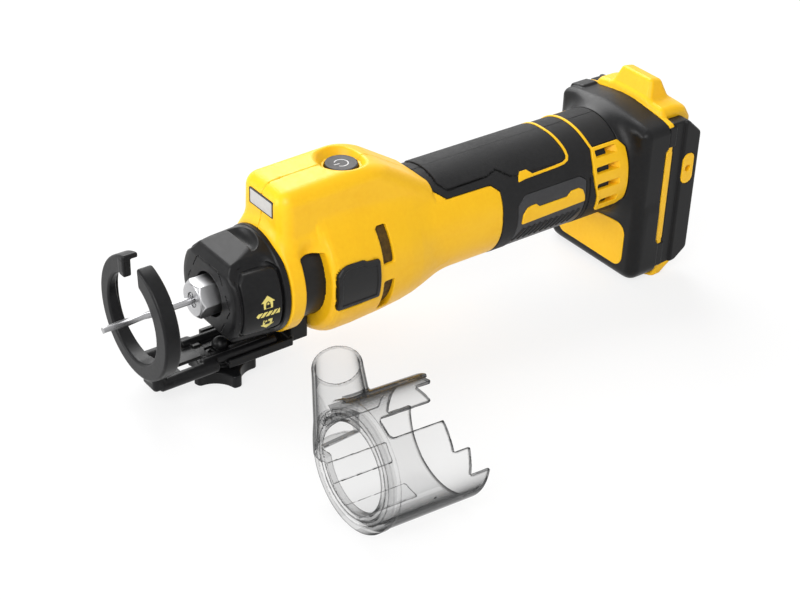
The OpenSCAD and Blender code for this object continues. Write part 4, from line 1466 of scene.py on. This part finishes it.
@dataclass
class Nose(SubAssembly):
    """Lock sleeve, collet nut, bit and drum."""

    front: float = 44.0
    back: float = 75.6
    hole_r: float = 12.5
    snout_r: float = 22.05
    flute_r: float = 9.6
    flute_at: float = 35.9
    flute_end: float = 62.0
    tick_r: float = 18.2
    tick_half: float = 0.32
    nut_front: float = 34.0
    nut_flats: float = 19.0
    bit_r: float = 2.05
    profile: tuple[Point, ...] = (
        (43.9, 24.6), (44.3, 26.0), (45.2, 27.2), (46.6, 27.9), (49, 28.3), (53, 28.6), (64, 29.2),
        (71.6, 29.4), (72.4, 30), (75.7, 30),
    )
    pad_edge: tuple[Point, ...] = ((48.2, -14.5), (48.2, 16), (52, 19.5), (70.4, 19.5), (70.4, -14.5))
    arrow_up: tuple[Point, ...] = (
        (57.6, 4.2), (61.8, 7.9), (66, 4.2), (64.5, 4.2), (64.5, 0.6), (59.1, 0.6), (59.1, 4.2),
    )
    arrow_down: tuple[Point, ...] = (
        (59.1, -6.2), (64.5, -6.2), (64.5, -9.4), (66, -9.4), (61.8, -12.6), (57.6, -9.4), (59.1, -9.4),
    )
    bit_sign: tuple[Point, ...] = ((54.6, -2.6), (55.8, -4.0), (68.6, -4.0), (68.6, -1.1), (55.8, -1.1))

    def body(self) -> Solid:
        """The sleeve's turned form with its top facets and flutes.

        Returns:
            The form, without its pads and bores.
        """
        form = turned(self.profile).keep(slab(Axis.X, self.front, self.back), 0.6)
        for up in (1, -1):
            facet = behind((48, 0, up * 23.2), (-0.29, 0, up))
            facet = facet.keep(behind((47.6, 0, up * 23), (-1.3, 0, up)), 0.8)
            form = form.keep(facet.join(past(Axis.X, 65.6), 0.1), 0.6)
            scoop = ball((63.2, 0, up * 31.2), (7.4, 16, 7.8)).keep(past(Axis.X, 62.6))
            form = form.cut(scoop, 0.5)
        for a in map(math.radians, (45, 135, 225, 315)):
            y, z = self.flute_at * math.cos(a), self.flute_at * math.sin(a)
            flute = rod(Axis.X, 30, self.flute_end, self.flute_r, (y, z))
            form = form.cut(flute.join(ball((self.flute_end, y, z), (self.flute_r,) * 3)), 1.5)
        return form

    def pad(self) -> Solid:
        """Room of the raised side pad, on both sides."""
        return prism(Axis.Y, self.pad_edge, 3).keep(up_to(Axis.Y, -18)).both_sides()

    def shape(self) -> Solid:
        """The sleeve's turned form alone."""
        return turned(self.profile).keep(slab(Axis.X, self.front, self.back))

    def sleeve(self) -> Solid:
        """The whole sleeve.

        Returns:
            The sleeve with its pads, bores and lines.
        """
        moat = self.pad().grown(1.5).cut(self.pad().grown(-0.2)).cut(self.shape().grown(-1.5))
        raised = self.pad().keep(self.shape().grown(0.35), 0.9)
        form = self.body().cut(moat, 0.6).join(raised, 0.2)
        form = form.cut(rod(Axis.X, 40, 80, self.hole_r), 0.5).cut(rod(Axis.X, 54, 80, self.snout_r))
        return form.cut(self.ticks(), 0.1)

    def ticks(self) -> Solid:
        """Lines on the front face round the nut.

        Returns:
            Two lines on each side of a hexagon.
        """
        marks = []
        for a in range(0, 360, 60):
            points = []
            for t in (math.radians(a + d) for d in (2, 17, 36, 57)):
                reach = self.tick_r / math.cos(t - math.radians(a + 30))
                points.append((reach * math.cos(t), reach * math.sin(t)))
            marks += [bead(Axis.X, points[:2], self.tick_half), bead(Axis.X, points[2:], self.tick_half)]
        return joined(marks).keep(slab(Axis.X, 40, 44.35))

    def signs(self) -> Solid:
        """Lock signs on the side pads: an arrow each way and a bit between them.

        Returns:
            The signs of both sides, as thick as print.
        """
        form = prism(Axis.Y, self.arrow_up, 0.15).join(prism(Axis.Y, self.arrow_down, 0.15))
        bar = prism(Axis.Y, self.bit_sign, 0.1)
        for x in (57.6, 60.6, 63.6, 66.4):
            bar = bar.cut(bead(Axis.Y, [(x - 1.6, -4.6), (x + 1.8, -0.6)], 0.28))
        bow = ((60.9, 0.7), (60.9, 1.8), (61.8, 2.5), (62.7, 1.8), (62.7, 0.7))
        for z, open_by in ((2.0, 0.0), (-8.6, 0.9)):
            lock = block((60.4, -60, z - 1.1), (63.2, 60, z + 0.8), 0.2)
            form = form.cut(lock).cut(bead(Axis.Y, [(x - open_by, z + up) for x, up in bow], 0.26))
        skin = self.shape().grown(0.43).cut(self.shape().grown(-0.3)).keep(up_to(Axis.Y, -15))
        return form.join(bar).keep(skin).both_sides()

    def nut(self) -> Solid:
        """The hexagon nut with its chamfered front.

        Returns:
            The nut with its bores.
        """
        corner = self.nut_flats / math.sqrt(3)
        turns = [math.radians(a) for a in range(30, 390, 60)]
        hexagon = prism(Axis.X, [(corner * math.sin(t), corner * math.cos(t)) for t in turns], 0.35)
        crown = turned([(33.9, 8.9), (36.2, 11.3), (48.1, 11.3)]).keep(slab(Axis.X, self.nut_front, 48), 0.35)
        form = hexagon.keep(crown, 0.25)
        return form.cut(rod(Axis.X, 30, 50, 4.15), 0.3).cut(rod(Axis.X, 37, 50, 7.05))

    def bit(self) -> bpy.types.Mesh:
        """Grows the spiral bit.

        Returns:
            The bit as one mesh.
        """
        values = {
            "Tip": -17.4 * MM,
            "Flute end": 12.0 * MM,
            "Neck": 33.0 * MM,
            "Tail": 58.0 * MM,
            "Radius": self.bit_r * MM,
            "Root": 1.68 * MM,
            "Tail radius": 1.6 * MM,
            "Turn": 2 * math.pi / (80.0 * MM),
            "Finish": BRIGHT.material(),
        }
        return grown("spiral_bit", bit_tree(), values)

    def build(self) -> list[Piece]:
        """Meshes the turning pieces of the nose.

        Returns:
            The pieces.
        """
        room = Net((43.6, -31, -31), (76, 31, 31), 0.5)
        made = [Piece.carved("twist_sleeve", self.sleeve(), room, BLACK, Body.SLEEVE, "lock_sleeve")]
        for side in Side:
            low, high = side.span(24, 30.5)
            room = Net((54.5, low, -13.5), (69, high, 9), 0.24)
            signs = self.signs().keep(side.room())
            made.append(Piece.carved(f"lock_signs_{side.word}", signs, room, YELLOW_PRINT, Body.SLEEVE))
        room = Net((33.6, -11.6, -11.6), (48.4, 11.6, 11.6), 0.34)
        made.append(Piece.carved("hex_nut", self.nut(), room, SATIN, Body.NUT, "collet_nut"))
        return made + [Piece("spiral_bit", self.bit(), BRIGHT, Body.BIT, ("cutting_bit",))]

    def kept(self) -> dict[str, Finish]:
        """The drum and the collet."""
        return {"nose_drum": BLACK, "collet": STEEL}


@cache
def bit_tree() -> bpy.types.NodeTree:
    """Geometry tree of a bit with twisted flutes and a plain shank.

    Returns:
        The tree, with its sizes as named inputs.
    """
    bench = Bench(bpy.data.node_groups.new("twisted_bit", "GeometryNodeTree"))
    names = ("Tip", "Flute end", "Neck", "Tail", "Radius", "Root", "Tail radius", "Turn")
    kinds = {**dict.fromkeys(names, NUMBER), "Finish": "NodeSocketMaterial"}
    start, end = bench.sockets(kinds, {"Bit": "NodeSocketGeometry"})
    size = start.outputs
    line = "GeometryNodeCurvePrimitiveLine"
    tip, waist, neck, tail = (bench.along_x(size[name]) for name in names[:4])
    fine = bench.out(
        "GeometryNodeResampleCurve", {"Curve": bench.out(line, {"Start": tip, "End": waist}), "Count": 120}
    )
    turn = bench.math("MULTIPLY", bench.out("GeometryNodeSplineParameter", output="Length"), size["Turn"])
    twisted = bench.out("GeometryNodeSetCurveTilt", {"Curve": fine, "Tilt": turn})
    radii = {"Inner Radius": size["Root"], "Outer Radius": size["Radius"]}
    star = bench.out("GeometryNodeCurveStar", {"Points": 4, **radii, "Twist": 0.35})
    both = bench.add("GeometryNodeJoinGeometry", {0: bench.swept(twisted, star)})
    for first, last, radius in ((waist, neck, "Radius"), (neck, tail, "Tail radius")):
        shank = bench.out(line, {"Start": first, "End": last})
        circle = bench.out("GeometryNodeCurvePrimitiveCircle", {"Resolution": 32, "Radius": size[radius]})
        bench.fill(both, {0: bench.swept(shank, circle)})
    real = bench.out("GeometryNodeRealizeInstances", {"Geometry": both.outputs[0]})
    done = bench.out("GeometryNodeSetMaterial", {"Geometry": real, "Material": size["Finish"]})
    bench.fill(end, {0: done})
    return bench.tree


@dataclass
class DepthGuide(SubAssembly):
    """Open ring guide, its bracket and its clamp."""

    ring_r: float = 33.8
    ring_hole: float = 24.4
    ring_y: float = 1.2
    ring_t: float = 9.0
    arm_r: float = 3.6
    rod_r: float = 2.6
    track: Point = (46.4, 85.8)
    track_z: float = -38.7
    clamp_x: float = 50.0
    knob_base: float = -50.5
    knob_r: float = 18.8
    lobes: int = 5
    lobe_turn: float = 304.0
    lobe_cut_r: float = 12.6
    lobe_cut_at: float = 25.4

    def ring(self) -> Solid:
        """The open ring with its two horns.

        Returns:
            The ring, without its arms.
        """
        at = (self.ring_y, 0)
        form = rod(Axis.X, 0, self.ring_t, self.ring_r, at, 1.4)
        form = form.cut(rod(Axis.X, -5, 20, self.ring_hole, (2.4, -0.7)), 1.4)
        pocket = rod(Axis.X, -5, 30, 30.6, at).keep(past(Axis.Y, 1))
        form = form.cut(pocket.keep(behind((8.2, 0, -24), (-1, 0, -0.115))), 0.8)
        form = form.cut(prism(Axis.X, [(-6.6, 15), (-4.2, 45), (8, 45), (8, 15)]), 1.6)
        return form.join(block((0.1, 7.9, 20.6), (4.6, 13, 30), 0.8), 0.8)

    def guide(self) -> Solid:
        """The ring with its arms, rods and slotted plate.

        Returns:
            The whole guide at rest.
        """
        form = self.ring().join(block((1.6, -15.4, -37.8), (self.ring_t, -2, -29.4), 2.4), 1.6)
        form = form.join(block((5.2, -6, -34.9), (self.ring_t, 6, -29.4), 1.2), 1.0)
        near_arm = rod(Axis.X, 6, 40.05, self.arm_r, (-13, -35.2), 0.9)
        arms = near_arm.join(rod(Axis.X, 8.6, 40.05, self.arm_r, (13, -35.2), 2.4))
        rods = rod(Axis.X, 32.05, 77.35, self.rod_r, (-10.8, -33.6), 0.9).both_sides()
        form = form.join(arms.join(rods, 0.8), 1.0)
        plate = block((6, -11, -36.2), (76.35, 11, -34.4), 0.3)
        plate = plate.cut(block((21, -9.6, -40), (39.6, -2.6, -30), 1.5))
        bar = block((36.5, -12, -36.2), (41.5, 12, -33), 0.8)
        bar = bar.cut(block((30, -5.4, -34.25), (60, 5.4, -20), 0.5), 0.3)
        form = form.join(plate.join(bar, 0.8), 0.8)
        slot = prism(Axis.Z, oblong((40.9, -2.9), (71.5, 2.9)), 2.8)
        form = form.cut(slot.keep(slab(Axis.Z, -36.6, -30)), 0.2)
        return form.cut(block((40.2, -20, -45), (90, 20, -36.2)))

    def bracket(self) -> Solid:
        """The track that carries the guide, with its riser.

        Returns:
            The bracket with its bolt hole.
        """
        (front, back), low = self.track, self.track_z
        form = block((front, -15.4, low), (back, 15.4, -36.5), 0.7)
        lip = block((front, -15.6, low), (back, -13.8, -34.0), 0.6).both_sides()
        riser = block((85.35, -14, -37.6), (96.15, 14, 0), 0.8).cut(rod(Axis.X, 70, 110, 27.55))
        riser = riser.keep(up_to(Axis.Z, -23.7))
        rim = block((front, 13.6, low), (back, 16.4, -31.4), 0.6)
        form = form.join(lip, 0.6).join(rim, 0.4).join(riser, 1.5)
        return form.cut(rod(Axis.Z, -45, -30, 2.55, (self.clamp_x, 0)))

    def knob(self) -> Solid:
        """The star knob with flat lobe ends.

        Returns:
            The knob with its hub and bore.
        """
        at = (self.clamp_x, 0)
        star = Solid(lambda p: np.hypot(p[:, 0] - self.clamp_x, p[:, 1]) - self.knob_r)
        for i in range(self.lobes):
            a = math.radians(self.lobe_turn + 360 / self.lobes * i)
            gap = (self.clamp_x + self.lobe_cut_at * math.cos(a), self.lobe_cut_at * math.sin(a))
            star = star.cut(rod(Axis.Z, -99, 0, self.lobe_cut_r, gap), 1.4)
        form = star.keep(slab(Axis.Z, self.knob_base, self.knob_base + 7.5), 1.1)
        hub = rod(Axis.Z, self.knob_base, -39.85, 8, at, 0.6)
        return form.join(hub, 1.2).cut(rod(Axis.Z, -60, -30, 2.56, at))

    def bolt(self) -> Solid:
        """The clamp bolt with its round head."""
        head = ball((self.clamp_x, 0, -33.2), (4.6, 4.6, 4.4)).keep(past(Axis.Z, -34.05), 0.4)
        return head.join(rod(Axis.Z, -49.5, -33.5, 2.5, (self.clamp_x, 0)))

    def build(self) -> list[Piece]:
        """Meshes the guide and its clamp.

        Returns:
            The pieces.
        """
        ring = Net((-0.4, -34.4, -39), (78, 34.4, 34.4), 0.52)
        track = Net((44, -16, -40), (97, 17, -23), 0.5)
        star = Net((30.5, -19.5, -51), (69.5, 19.5, -39.4), 0.45)
        bolt = Net((45, -5, -50), (55, 5, -28.4), 0.35)
        return [
            Piece.carved("ring_guide", self.guide(), ring, BLACK, Body.GUIDE, "depth_guide"),
            Piece.carved("guide_track", self.bracket(), track, BLACK, Body.TOOL, "guide_bracket"),
            Piece.carved("star_knob", self.knob(), star, BLACK, Body.KNOB, "clamp_knob"),
            Piece.carved("track_bolt", self.bolt(), bolt, BLACK, Body.TOOL, "clamp_bolt"),
        ]


@dataclass
class Foot(SubAssembly):
    """Black battery foot, yellow base, rails and inserts."""

    base_x: float = 331.95
    rail_x: float = 335.45
    top: float = 38.0
    crown_r: float = 132.0
    cheek: Point = (38.0, -66.2)
    ear_half: float = 38.3
    chin: Point = (36.4, -66.2)
    base_half: Point = (37.4, -67.4)
    dome_edge: tuple[Point, ...] = ((332, 20), (332, 43), (345, 42.4), (352, 38), (357, 30), (357, 20))
    lip_edge: tuple[Point, ...] = (
        (331.97, -60), (346.6, -60), (346.6, -62.8), (338, -68.9), (331.97, -68.9),
    )
    tray_edge: tuple[Point, ...] = (
        (326.6, -29), (331.5, -36.6), (336, -36.6), (336, 36.6), (331.5, 36.6), (326.6, 29),
    )
    boss_edge: tuple[Point, ...] = ((332, 28), (332, 37), (337.2, 51.8), (345.4, 50), (350.4, 36), (352, 28))
    rail_edge: tuple[Point, ...] = (
        (335.45, 33.6), (346.5, 33.4), (356.9, 24), (356.9, -54.5), (348, -61.2), (335.45, -62.3),
    )

    def crown(self, rise: float = 0.0) -> Solid:
        """The long curve across the foot's top."""
        r = self.crown_r
        return Solid(lambda p: np.hypot(p[:, 1], p[:, 2] - self.top - rise + r) - r)

    def bar(self, half: float, low: float, high: float, corner: float) -> Solid:
        """An endless bar along X, given by its half width and its height."""
        return prism(Axis.X, oblong((-half, low), (half, high)), corner)

    def outside(self) -> Solid:
        """The outside of the black foot that flares from the grip.

        Returns:
            The form, with room for the yellow bars.
        """
        neck = grip_rod(304.95, 331.9, GRIP_R, 0.6)
        cheek = self.bar(*self.cheek, self.top, 7).keep(self.crown(), 4).keep(slab(Axis.X, 312.4, 345), 6)
        ears = self.bar(self.ear_half, 0, self.top, 3).keep(self.crown(1.4), 2.5)
        ears = ears.keep(slab(Axis.X, 320.2, 345), 1.6).cut(up_to(Axis.Y, 26), 2)
        flange = cheek.join(ears, 1).keep(slab(Axis.X, 300, self.base_x), 0.4)
        face = behind((315.1, 0, -63), (-31, 0, 1.5))
        chin = self.bar(*self.chin, -14, 9).keep(face, 4.5).keep(slab(Axis.X, 300, self.base_x), 0.3)
        form = flange.join(neck, 9).join(chin, 5).keep(slab(Axis.X, 304.97, self.base_x), 0.3)
        return form.cut(self.slot(1.0), 0.7)

    def slot(self, grow: float) -> Solid:
        """Room of the yellow bar beside each rail, wider than the bar by grow."""
        edge = oblong((330.7, -43.4), (335.7, 17.4))
        return prism(Axis.Y, edge, 2.2).grown(grow).keep(slab(Axis.Y, -60, -36.4)).both_sides()

    def shell(self) -> Solid:
        """The hollow black foot.

        Returns:
            The foot with its room and the notch for the vent panel.
        """
        room = grip_rod(290, 312, 28.05).join(grip_rod(310, 326, 26.5))
        room = room.join(block((323, -27, -60), (345, 27, 29), 5))
        notch = wrapped(LOUVRE_EDGE, 2).grown(0.12).cut(grip_rod(280, 330, 28.05))
        return self.outside().cut(room).cut(notch, 0.3)

    def base(self) -> Solid:
        """The yellow base with its dome and boss.

        Returns:
            The base with its lip, tray and side bars.
        """
        half, low = self.base_half
        form = self.bar(half, low, self.top, 7).keep(self.crown(0.2), 2)
        form = form.keep(slab(Axis.X, self.base_x + 0.02, self.rail_x), 0.4)
        dome = prism(Axis.Y, self.dome_edge, 2.5).keep(self.crown(3.8), 4).keep(slab(Axis.Y, -29, 29), 4)
        dome = dome.keep(slab(Axis.X, 331.97, 357), 1).keep(past(Axis.Z, 22), 0.5)
        lip = prism(Axis.Y, self.lip_edge, 1.2).keep(slab(Axis.Y, -half, half), 3)
        form = form.join(lip.keep(slab(Axis.X, 331.97, 350)), 0.4)
        tray = prism(Axis.Z, self.tray_edge, 3).keep(slab(Axis.Z, -68.2, -66.2), 0.7)
        form = form.join(tray, 0.6).join(self.slot(0).keep(slab(Axis.Y, -37.5, 37.5), 0.4))
        side = behind((0, -17.4, 38), (0, -1, 0.33)).both_sides()
        boss = prism(Axis.Y, self.boss_edge, 2.4).keep(side, 2.6).keep(slab(Axis.X, 331.97, 353), 1.2)
        form = form.join(dome, 1.2).join(boss, 2.4)
        return form.cut(block((320, -9, -25), (340, 9, -1)), 0.4)

    def rail(self) -> Solid:
        """The left battery rail.

        Returns:
            The rail with its lip and seats.
        """
        outer = prism(Axis.Y, self.rail_edge, 4)
        outer = outer.join(prism(Axis.Y, self.rail_edge, 0.6).keep(slab(Axis.X, 330, 341)))
        form = outer.keep(slab(Axis.Y, -36.9, -28.4), 1.2)
        proud = outer.keep(past(Axis.X, 343.6), 1.4).keep(slab(Axis.Y, -38.6, -28.4), 1.6)
        lip = block((351.95, -31.5, -46.5), (356.9, -25.6, 21), 0.9)
        form = form.join(proud, 0.5).join(lip, 0.5)
        for a, b in ((19.2, 32), (-61, -45.2)):
            form = form.join(block((331.8, -37.9, a), (337.5, -35.5, b), 0.7), 0.3)
        return form.cut(self.slot(1.0), 0.4).cut(self.oval(0.1))

    def oval(self, grow: float) -> Solid:
        """Room of the left belt hook insert, wider than the insert by grow."""
        edge = oblong((344.6, -8.2), (353.4, 11.6))
        return prism(Axis.Y, edge, 4.1).grown(grow).keep(slab(Axis.Y, -60, -31 + grow))

    def hook(self) -> Solid:
        """The left belt hook insert."""
        form = self.oval(0).keep(past(Axis.Y, -38.75), 0.5)
        return form.cut(rod(Axis.Y, -60, -20, 2, (348.95, 1.8)), 0.5)

    def plate(self) -> Solid:
        """The bare plate on the foot's front.

        Returns:
            A thin plate that follows the foot's face.
        """
        form = self.outside()
        front = self.bar(29, -59.5, -31, 7).keep(slab(Axis.X, 305, 320))
        return front.keep(form.grown(0.45), 0.3).cut(form.grown(-0.45))

    def build(self) -> list[Piece]:
        """Meshes the foot and its fittings.

        Returns:
            The pieces.
        """
        made = []
        for name, solid, low, high, step, finish, node in (
            ("foot_moulding", self.shell(), (304, -39, -69), (333, 39, 39), 0.72, BLACK, "foot_shell"),
            ("yellow_base", self.base(), (326, -38, -69.5), (358, 38, 54), 0.72, YELLOW, "battery_base"),
            ("bare_plate", self.plate(), (310, -30, -60.5), (319, 30, -30), 0.45, YELLOW, "rating_plate"),
        ):
            made.append(Piece.carved(name, solid, Net(low, high, step), finish, Body.TOOL, node))
        for side in Side:
            low, high = side.span(25, 39.5)
            axes = ((1, 0, 0), (0, -side.value, 0), (0, 0, 1))
            for name, solid, (x0, z0), (x1, z1), step, finish, node in (
                ("rail", self.rail(), (331, -63), (358, 37), 0.6, BLACK, "battery_rail"),
                ("hook_seat", self.hook(), (344, -9), (354, 12.5), 0.36, YELLOW, "hook_insert"),
            ):
                room = Net((x0, low, z0), (x1, high, z1), step)
                solid = solid.placed((0, 0, 0), axes)
                names = f"{name}_{side.word}", f"{node}_{side.word}"
                made.append(Piece.carved(names[0], solid, room, finish, Body.TOOL, names[1]))
        return made

    def kept(self) -> dict[str, Finish]:
        """The terminals and the electronics."""
        return {
            "terminal_block": BLACK,
            "terminal_blades": BRASS,
            "controller": BOARD,
            "heat_sink": ALUMINIUM,
        }


@dataclass
class Motor(SubAssembly):
    """Motor, spindle and bearings, seen only through the openings."""

    def kept(self) -> dict[str, Finish]:
        """Every node of the motor with its finish."""
        return {
            "spindle_shaft": STEEL,
            "front_bearing": BRIGHT,
            "rear_bearing": BRIGHT,
            "rotor_core": STEEL,
            "rotor_magnets": BRIGHT,
            "stator_core": STEEL,
            "stator_windings": COPPER,
            "sensor_board": BOARD,
            "cooling_fan": BLACK,
            "motor_leads": WIRE,
        }


@dataclass
class DustShroud(SubAssembly):
    """The clear shroud that lies beside the tool, modelled along X from its face."""

    at: Place = SHROUD_AT
    tilt: float = LIE_TILT
    r: float = 32.3
    length: float = 57.5
    bore: float = 30.3
    hole: float = 22.5
    groove_radii: Point = (27.6, 24.8)
    outlet_at: Place = (13.3, 24.0, 0.0)
    outlet_top: Place = (9.6, 30.2, 37.4)
    outlet_r: float = 12.2
    outlet_draft: float = 0.085
    outlet_wall: float = 1.6
    ledge_h: float = 1.1
    # First and last degree, front end and corner radius of what is cut from the back edge
    notches: tuple[tuple[float, float, float, float], ...] = (
        (54.5, 75, 6.6, 2.5), (25.5, 97.5, 36.6, 0.8), (-2, 30, 45.7, 0.8), (96, 184, 50, 0.8),
        (90, 113, 45.8, 0.8), (142, 184, 43.5, 0.8),
    )
    # First and last degree and back end of the ledges inside the wall
    ledge_rows: tuple[Place, ...] = ((-62, -42, 40), (-106, -86, 40), (-150, -130, 40), (150, 170, 36))

    def patch(self, low: Point, high: Point, corner: float) -> Solid:
        """An oblong laid round the wall, endless towards its axis.

        Args:
            low: Lowest X and degree above the left side.
            high: Highest X and degree.
            corner: Radius of the corners.
        Returns:
            The oblong as a wedge.
        """
        unit = self.r * math.pi / 180
        corners = inset(oblong((low[0], low[1] * unit), (high[0], high[1] * unit)), corner)

        def distance(p: Array) -> Array:
            """Distance to the oblong, measured on the wall."""
            around = np.degrees(np.arctan2(p[:, 2], -p[:, 1]))
            return outline_distance(corners, p[:, 0], around * unit) - corner

        return Solid(distance)

    def tube(self, thin: float, foot: float) -> Solid:
        """The outlet's cone, open at its top.

        Args:
            thin: How much less than the outlet's radius it is.
            foot: Where it starts along the outlet.
        Returns:
            The cone.
        """
        low, high = np.array(self.outlet_at), np.array(self.outlet_top)
        length = float(np.linalg.norm(high - low))
        up = (high - low) / length
        across = np.cross((0, 1, 0), up)
        across /= np.linalg.norm(across)

        def distance(p: Array) -> Array:
            """Distance to the cone."""
            return np.hypot(p[:, 0], p[:, 1]) - self.outlet_r + thin - (length - p[:, 2]) * self.outlet_draft

        axes = (tuple(across), tuple(np.cross(up, across)), tuple(up))
        return Solid(distance).keep(past(Axis.Z, foot)).placed(self.outlet_at, axes)

    def outlet(self) -> Solid:
        """The outlet with its slanted rim."""
        return self.tube(0, -8).keep(behind(self.outlet_top, (-0.3, -0.11, 0.98)), 0.6)

    def form(self) -> Solid:
        """The shroud in its own frame.

        Returns:
            The shroud with its outlet, grooves and notches.
        """
        form = rod(Axis.X, 0, self.length, self.r, (0, 0), 0.9)
        form = form.join(rod(Axis.X, 0, 4.6, self.r + 0.5, (0, 0), 0.8), 0.4).join(self.outlet(), 1.2)
        hollow = rod(Axis.X, 4, 80, self.bore).join(self.tube(self.outlet_wall, -6)).cut(self.ledges())
        form = form.cut(hollow, 0.4).cut(rod(Axis.X, -5, 20, self.hole), 0.8)
        for r in self.groove_radii:
            form = form.cut(rod(Axis.X, -1, 0.8, r + 0.9).cut(rod(Axis.X, -2, 2, r - 0.9)), 0.3)
        for a, b, x, corner in self.notches:
            form = form.cut(self.patch((x, a), (90, b), corner), 0.35)
        return form.cut(self.patch((43.5, -184), (90, -176), 0.5), 0.3)

    def ledges(self) -> Solid:
        """Long flat ledges inside the wall."""
        ledges = joined(self.patch((3, a), (end, b), 1.0) for a, b, end in self.ledge_rows)
        return ledges.cut(rod(Axis.X, 0, 60, self.bore - self.ledge_h), 0.3)

    def build(self) -> list[Piece]:
        """Meshes the shroud where it lies.

        Returns:
            The piece.
        """
        c, s = math.cos(self.tilt), math.sin(self.tilt)
        solid = self.form().placed(self.at, ((c, 0, -s), (0, 1, 0), (s, 0, c)))
        room = Net((32, -177, -56), (96, -96, 29), 0.6)
        return [Piece.carved("clear_shroud", solid, room, CLEAR, Body.SHROUD, "dust_shroud")]


@dataclass
class Studio:
    """Camera, floor and light."""

    eye: Place = (-0.34392, -0.67067, 0.48954)
    right: Place = (0.80576, -0.59147, 0.03008)
    up: Place = (0.29734, 0.44794, 0.84317)
    forward: Place = (0.51219, 0.67045, -0.53680)
    lens: float = 79.33
    sensor: float = 36.0
    floor_reach: float = 6.0
    floor_tilt: float = LIE_TILT
    floor_at: Place = (0.05, 0.0, -0.0506)
    floor_white: float = 0.78
    sky: float = 0.4

    def camera(self) -> None:
        """Sets the camera at the photo's angle."""
        data = bpy.data.cameras.new("photo_camera")
        data.sensor_width = self.sensor
        data.sensor_fit = "HORIZONTAL"
        data.lens = self.lens
        data.clip_start = 0.01
        made = shown("photo_camera", data)
        turn = Matrix((self.right, self.up, -Vector(self.forward))).transposed().to_4x4()
        made.matrix_world = Matrix.Translation(Vector(self.eye)) @ turn
        bpy.context.scene.camera = made

    def floor(self) -> None:
        """Lays a pale floor under the tool."""
        reach, slant = self.floor_reach, math.tan(self.floor_tilt)
        x0, _, z0 = self.floor_at
        corners = [(x, y, z0 - slant * (x - x0)) for x, y in oblong((-reach, -reach), (reach, reach))]
        mesh = bpy.data.meshes.new("studio_floor")
        mesh.from_pydata(corners, [], [(0, 1, 2, 3)])
        made = shown("studio_floor", mesh)
        mesh.materials.append(self.floor_finish())

    def floor_finish(self) -> bpy.types.Material:
        """Makes a pale floor that looks white to the camera and keeps soft shadows.

        Returns:
            The floor's material.
        """
        made = bpy.data.materials.new("pale_floor")
        made.use_nodes = True
        bench = Bench(made.node_tree)
        made.node_tree.nodes.clear()
        place = bench.out("ShaderNodeTexCoord", output="Object")
        cloud = bench.out("ShaderNodeTexNoise", {"Vector": place, "Scale": 3.0})
        tone = bench.mix(cloud, (0.86, 0.86, 0.86, 1), (0.88, 0.88, 0.88, 1))
        dull = bench.out("ShaderNodeBsdfDiffuse", {"Color": tone})
        white = bench.out("ShaderNodeEmission", {"Color": (1, 1, 1, 1), "Strength": 1.0})
        share = bench.math("MULTIPLY", self.seen(bench), self.floor_white)
        mixed = bench.out("ShaderNodeMixShader", {0: share, 1: dull, 2: white})
        bench.add("ShaderNodeOutputMaterial", {"Surface": mixed})
        return made

    @staticmethod
    def seen(bench: Bench) -> bpy.types.NodeSocket:
        """A mask of the rays that show the background.

        Args:
            bench: The nodes to add to.
        Returns:
            The mask's socket.
        """
        path = bench.add("ShaderNodeLightPath").outputs
        first = bench.math("MAXIMUM", path["Is Camera Ray"], path["Is Glossy Ray"])
        return bench.math("MAXIMUM", first, path["Is Transmission Ray"])

    def world(self) -> None:
        """Soft light all round, white where it is seen."""
        made = bpy.data.worlds.new("studio_world")
        made.use_nodes = True
        bpy.context.scene.world = made
        bench = Bench(made.node_tree)
        made.node_tree.nodes.clear()
        level = bench.spread(self.seen(bench), 0.0, 1.0, self.sky, 1.0)
        glow = bench.out("ShaderNodeBackground", {"Color": (1, 1, 1, 1), "Strength": level})
        bench.add("ShaderNodeOutputWorld", {"Surface": glow})

    def lamps(self) -> None:
        """Soft lamps from above, the side and behind."""
        for name, at, aim, size, power in (
            ("key_lamp", (-0.8, -0.75, 1.0), (0.15, -0.05, 0), 1.0, 17.0),
            ("top_lamp", (0.45, 0.95, 0.95), (0.15, 0, 0), 1.1, 21.0),
            ("front_lamp", (-1.2, 0.6, 0.35), (0.1, 0, 0), 0.6, 8.0),
        ):
            data = bpy.data.lights.new(name, "AREA")
            data.shape = "SQUARE"
            data.size = size
            data.energy = power
            made = shown(name, data)
            made.location = at
            made.rotation_euler = (Vector(aim) - Vector(at)).to_track_quat("-Z", "Y").to_euler()

    def set_up(self) -> None:
        """Makes the whole studio."""
        self.camera()
        self.floor()
        self.world()
        self.lamps()
        bpy.context.scene.view_settings.view_transform = "Standard"


def main() -> None:
    """Builds every group in order."""
    logging.basicConfig(level=logging.INFO, format="%(name)s %(message)s")
    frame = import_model()
    Studio().set_up()
    groups = (Housing(), SidePads(), Grip(), Head(), Nose(), DepthGuide(), Foot(), Motor(), DustShroud())
    for group in groups:
        LOG.info("building %s", type(group).__name__)
        group.dress(frame["nodes"])


if __name__ == "__main__":
    main()
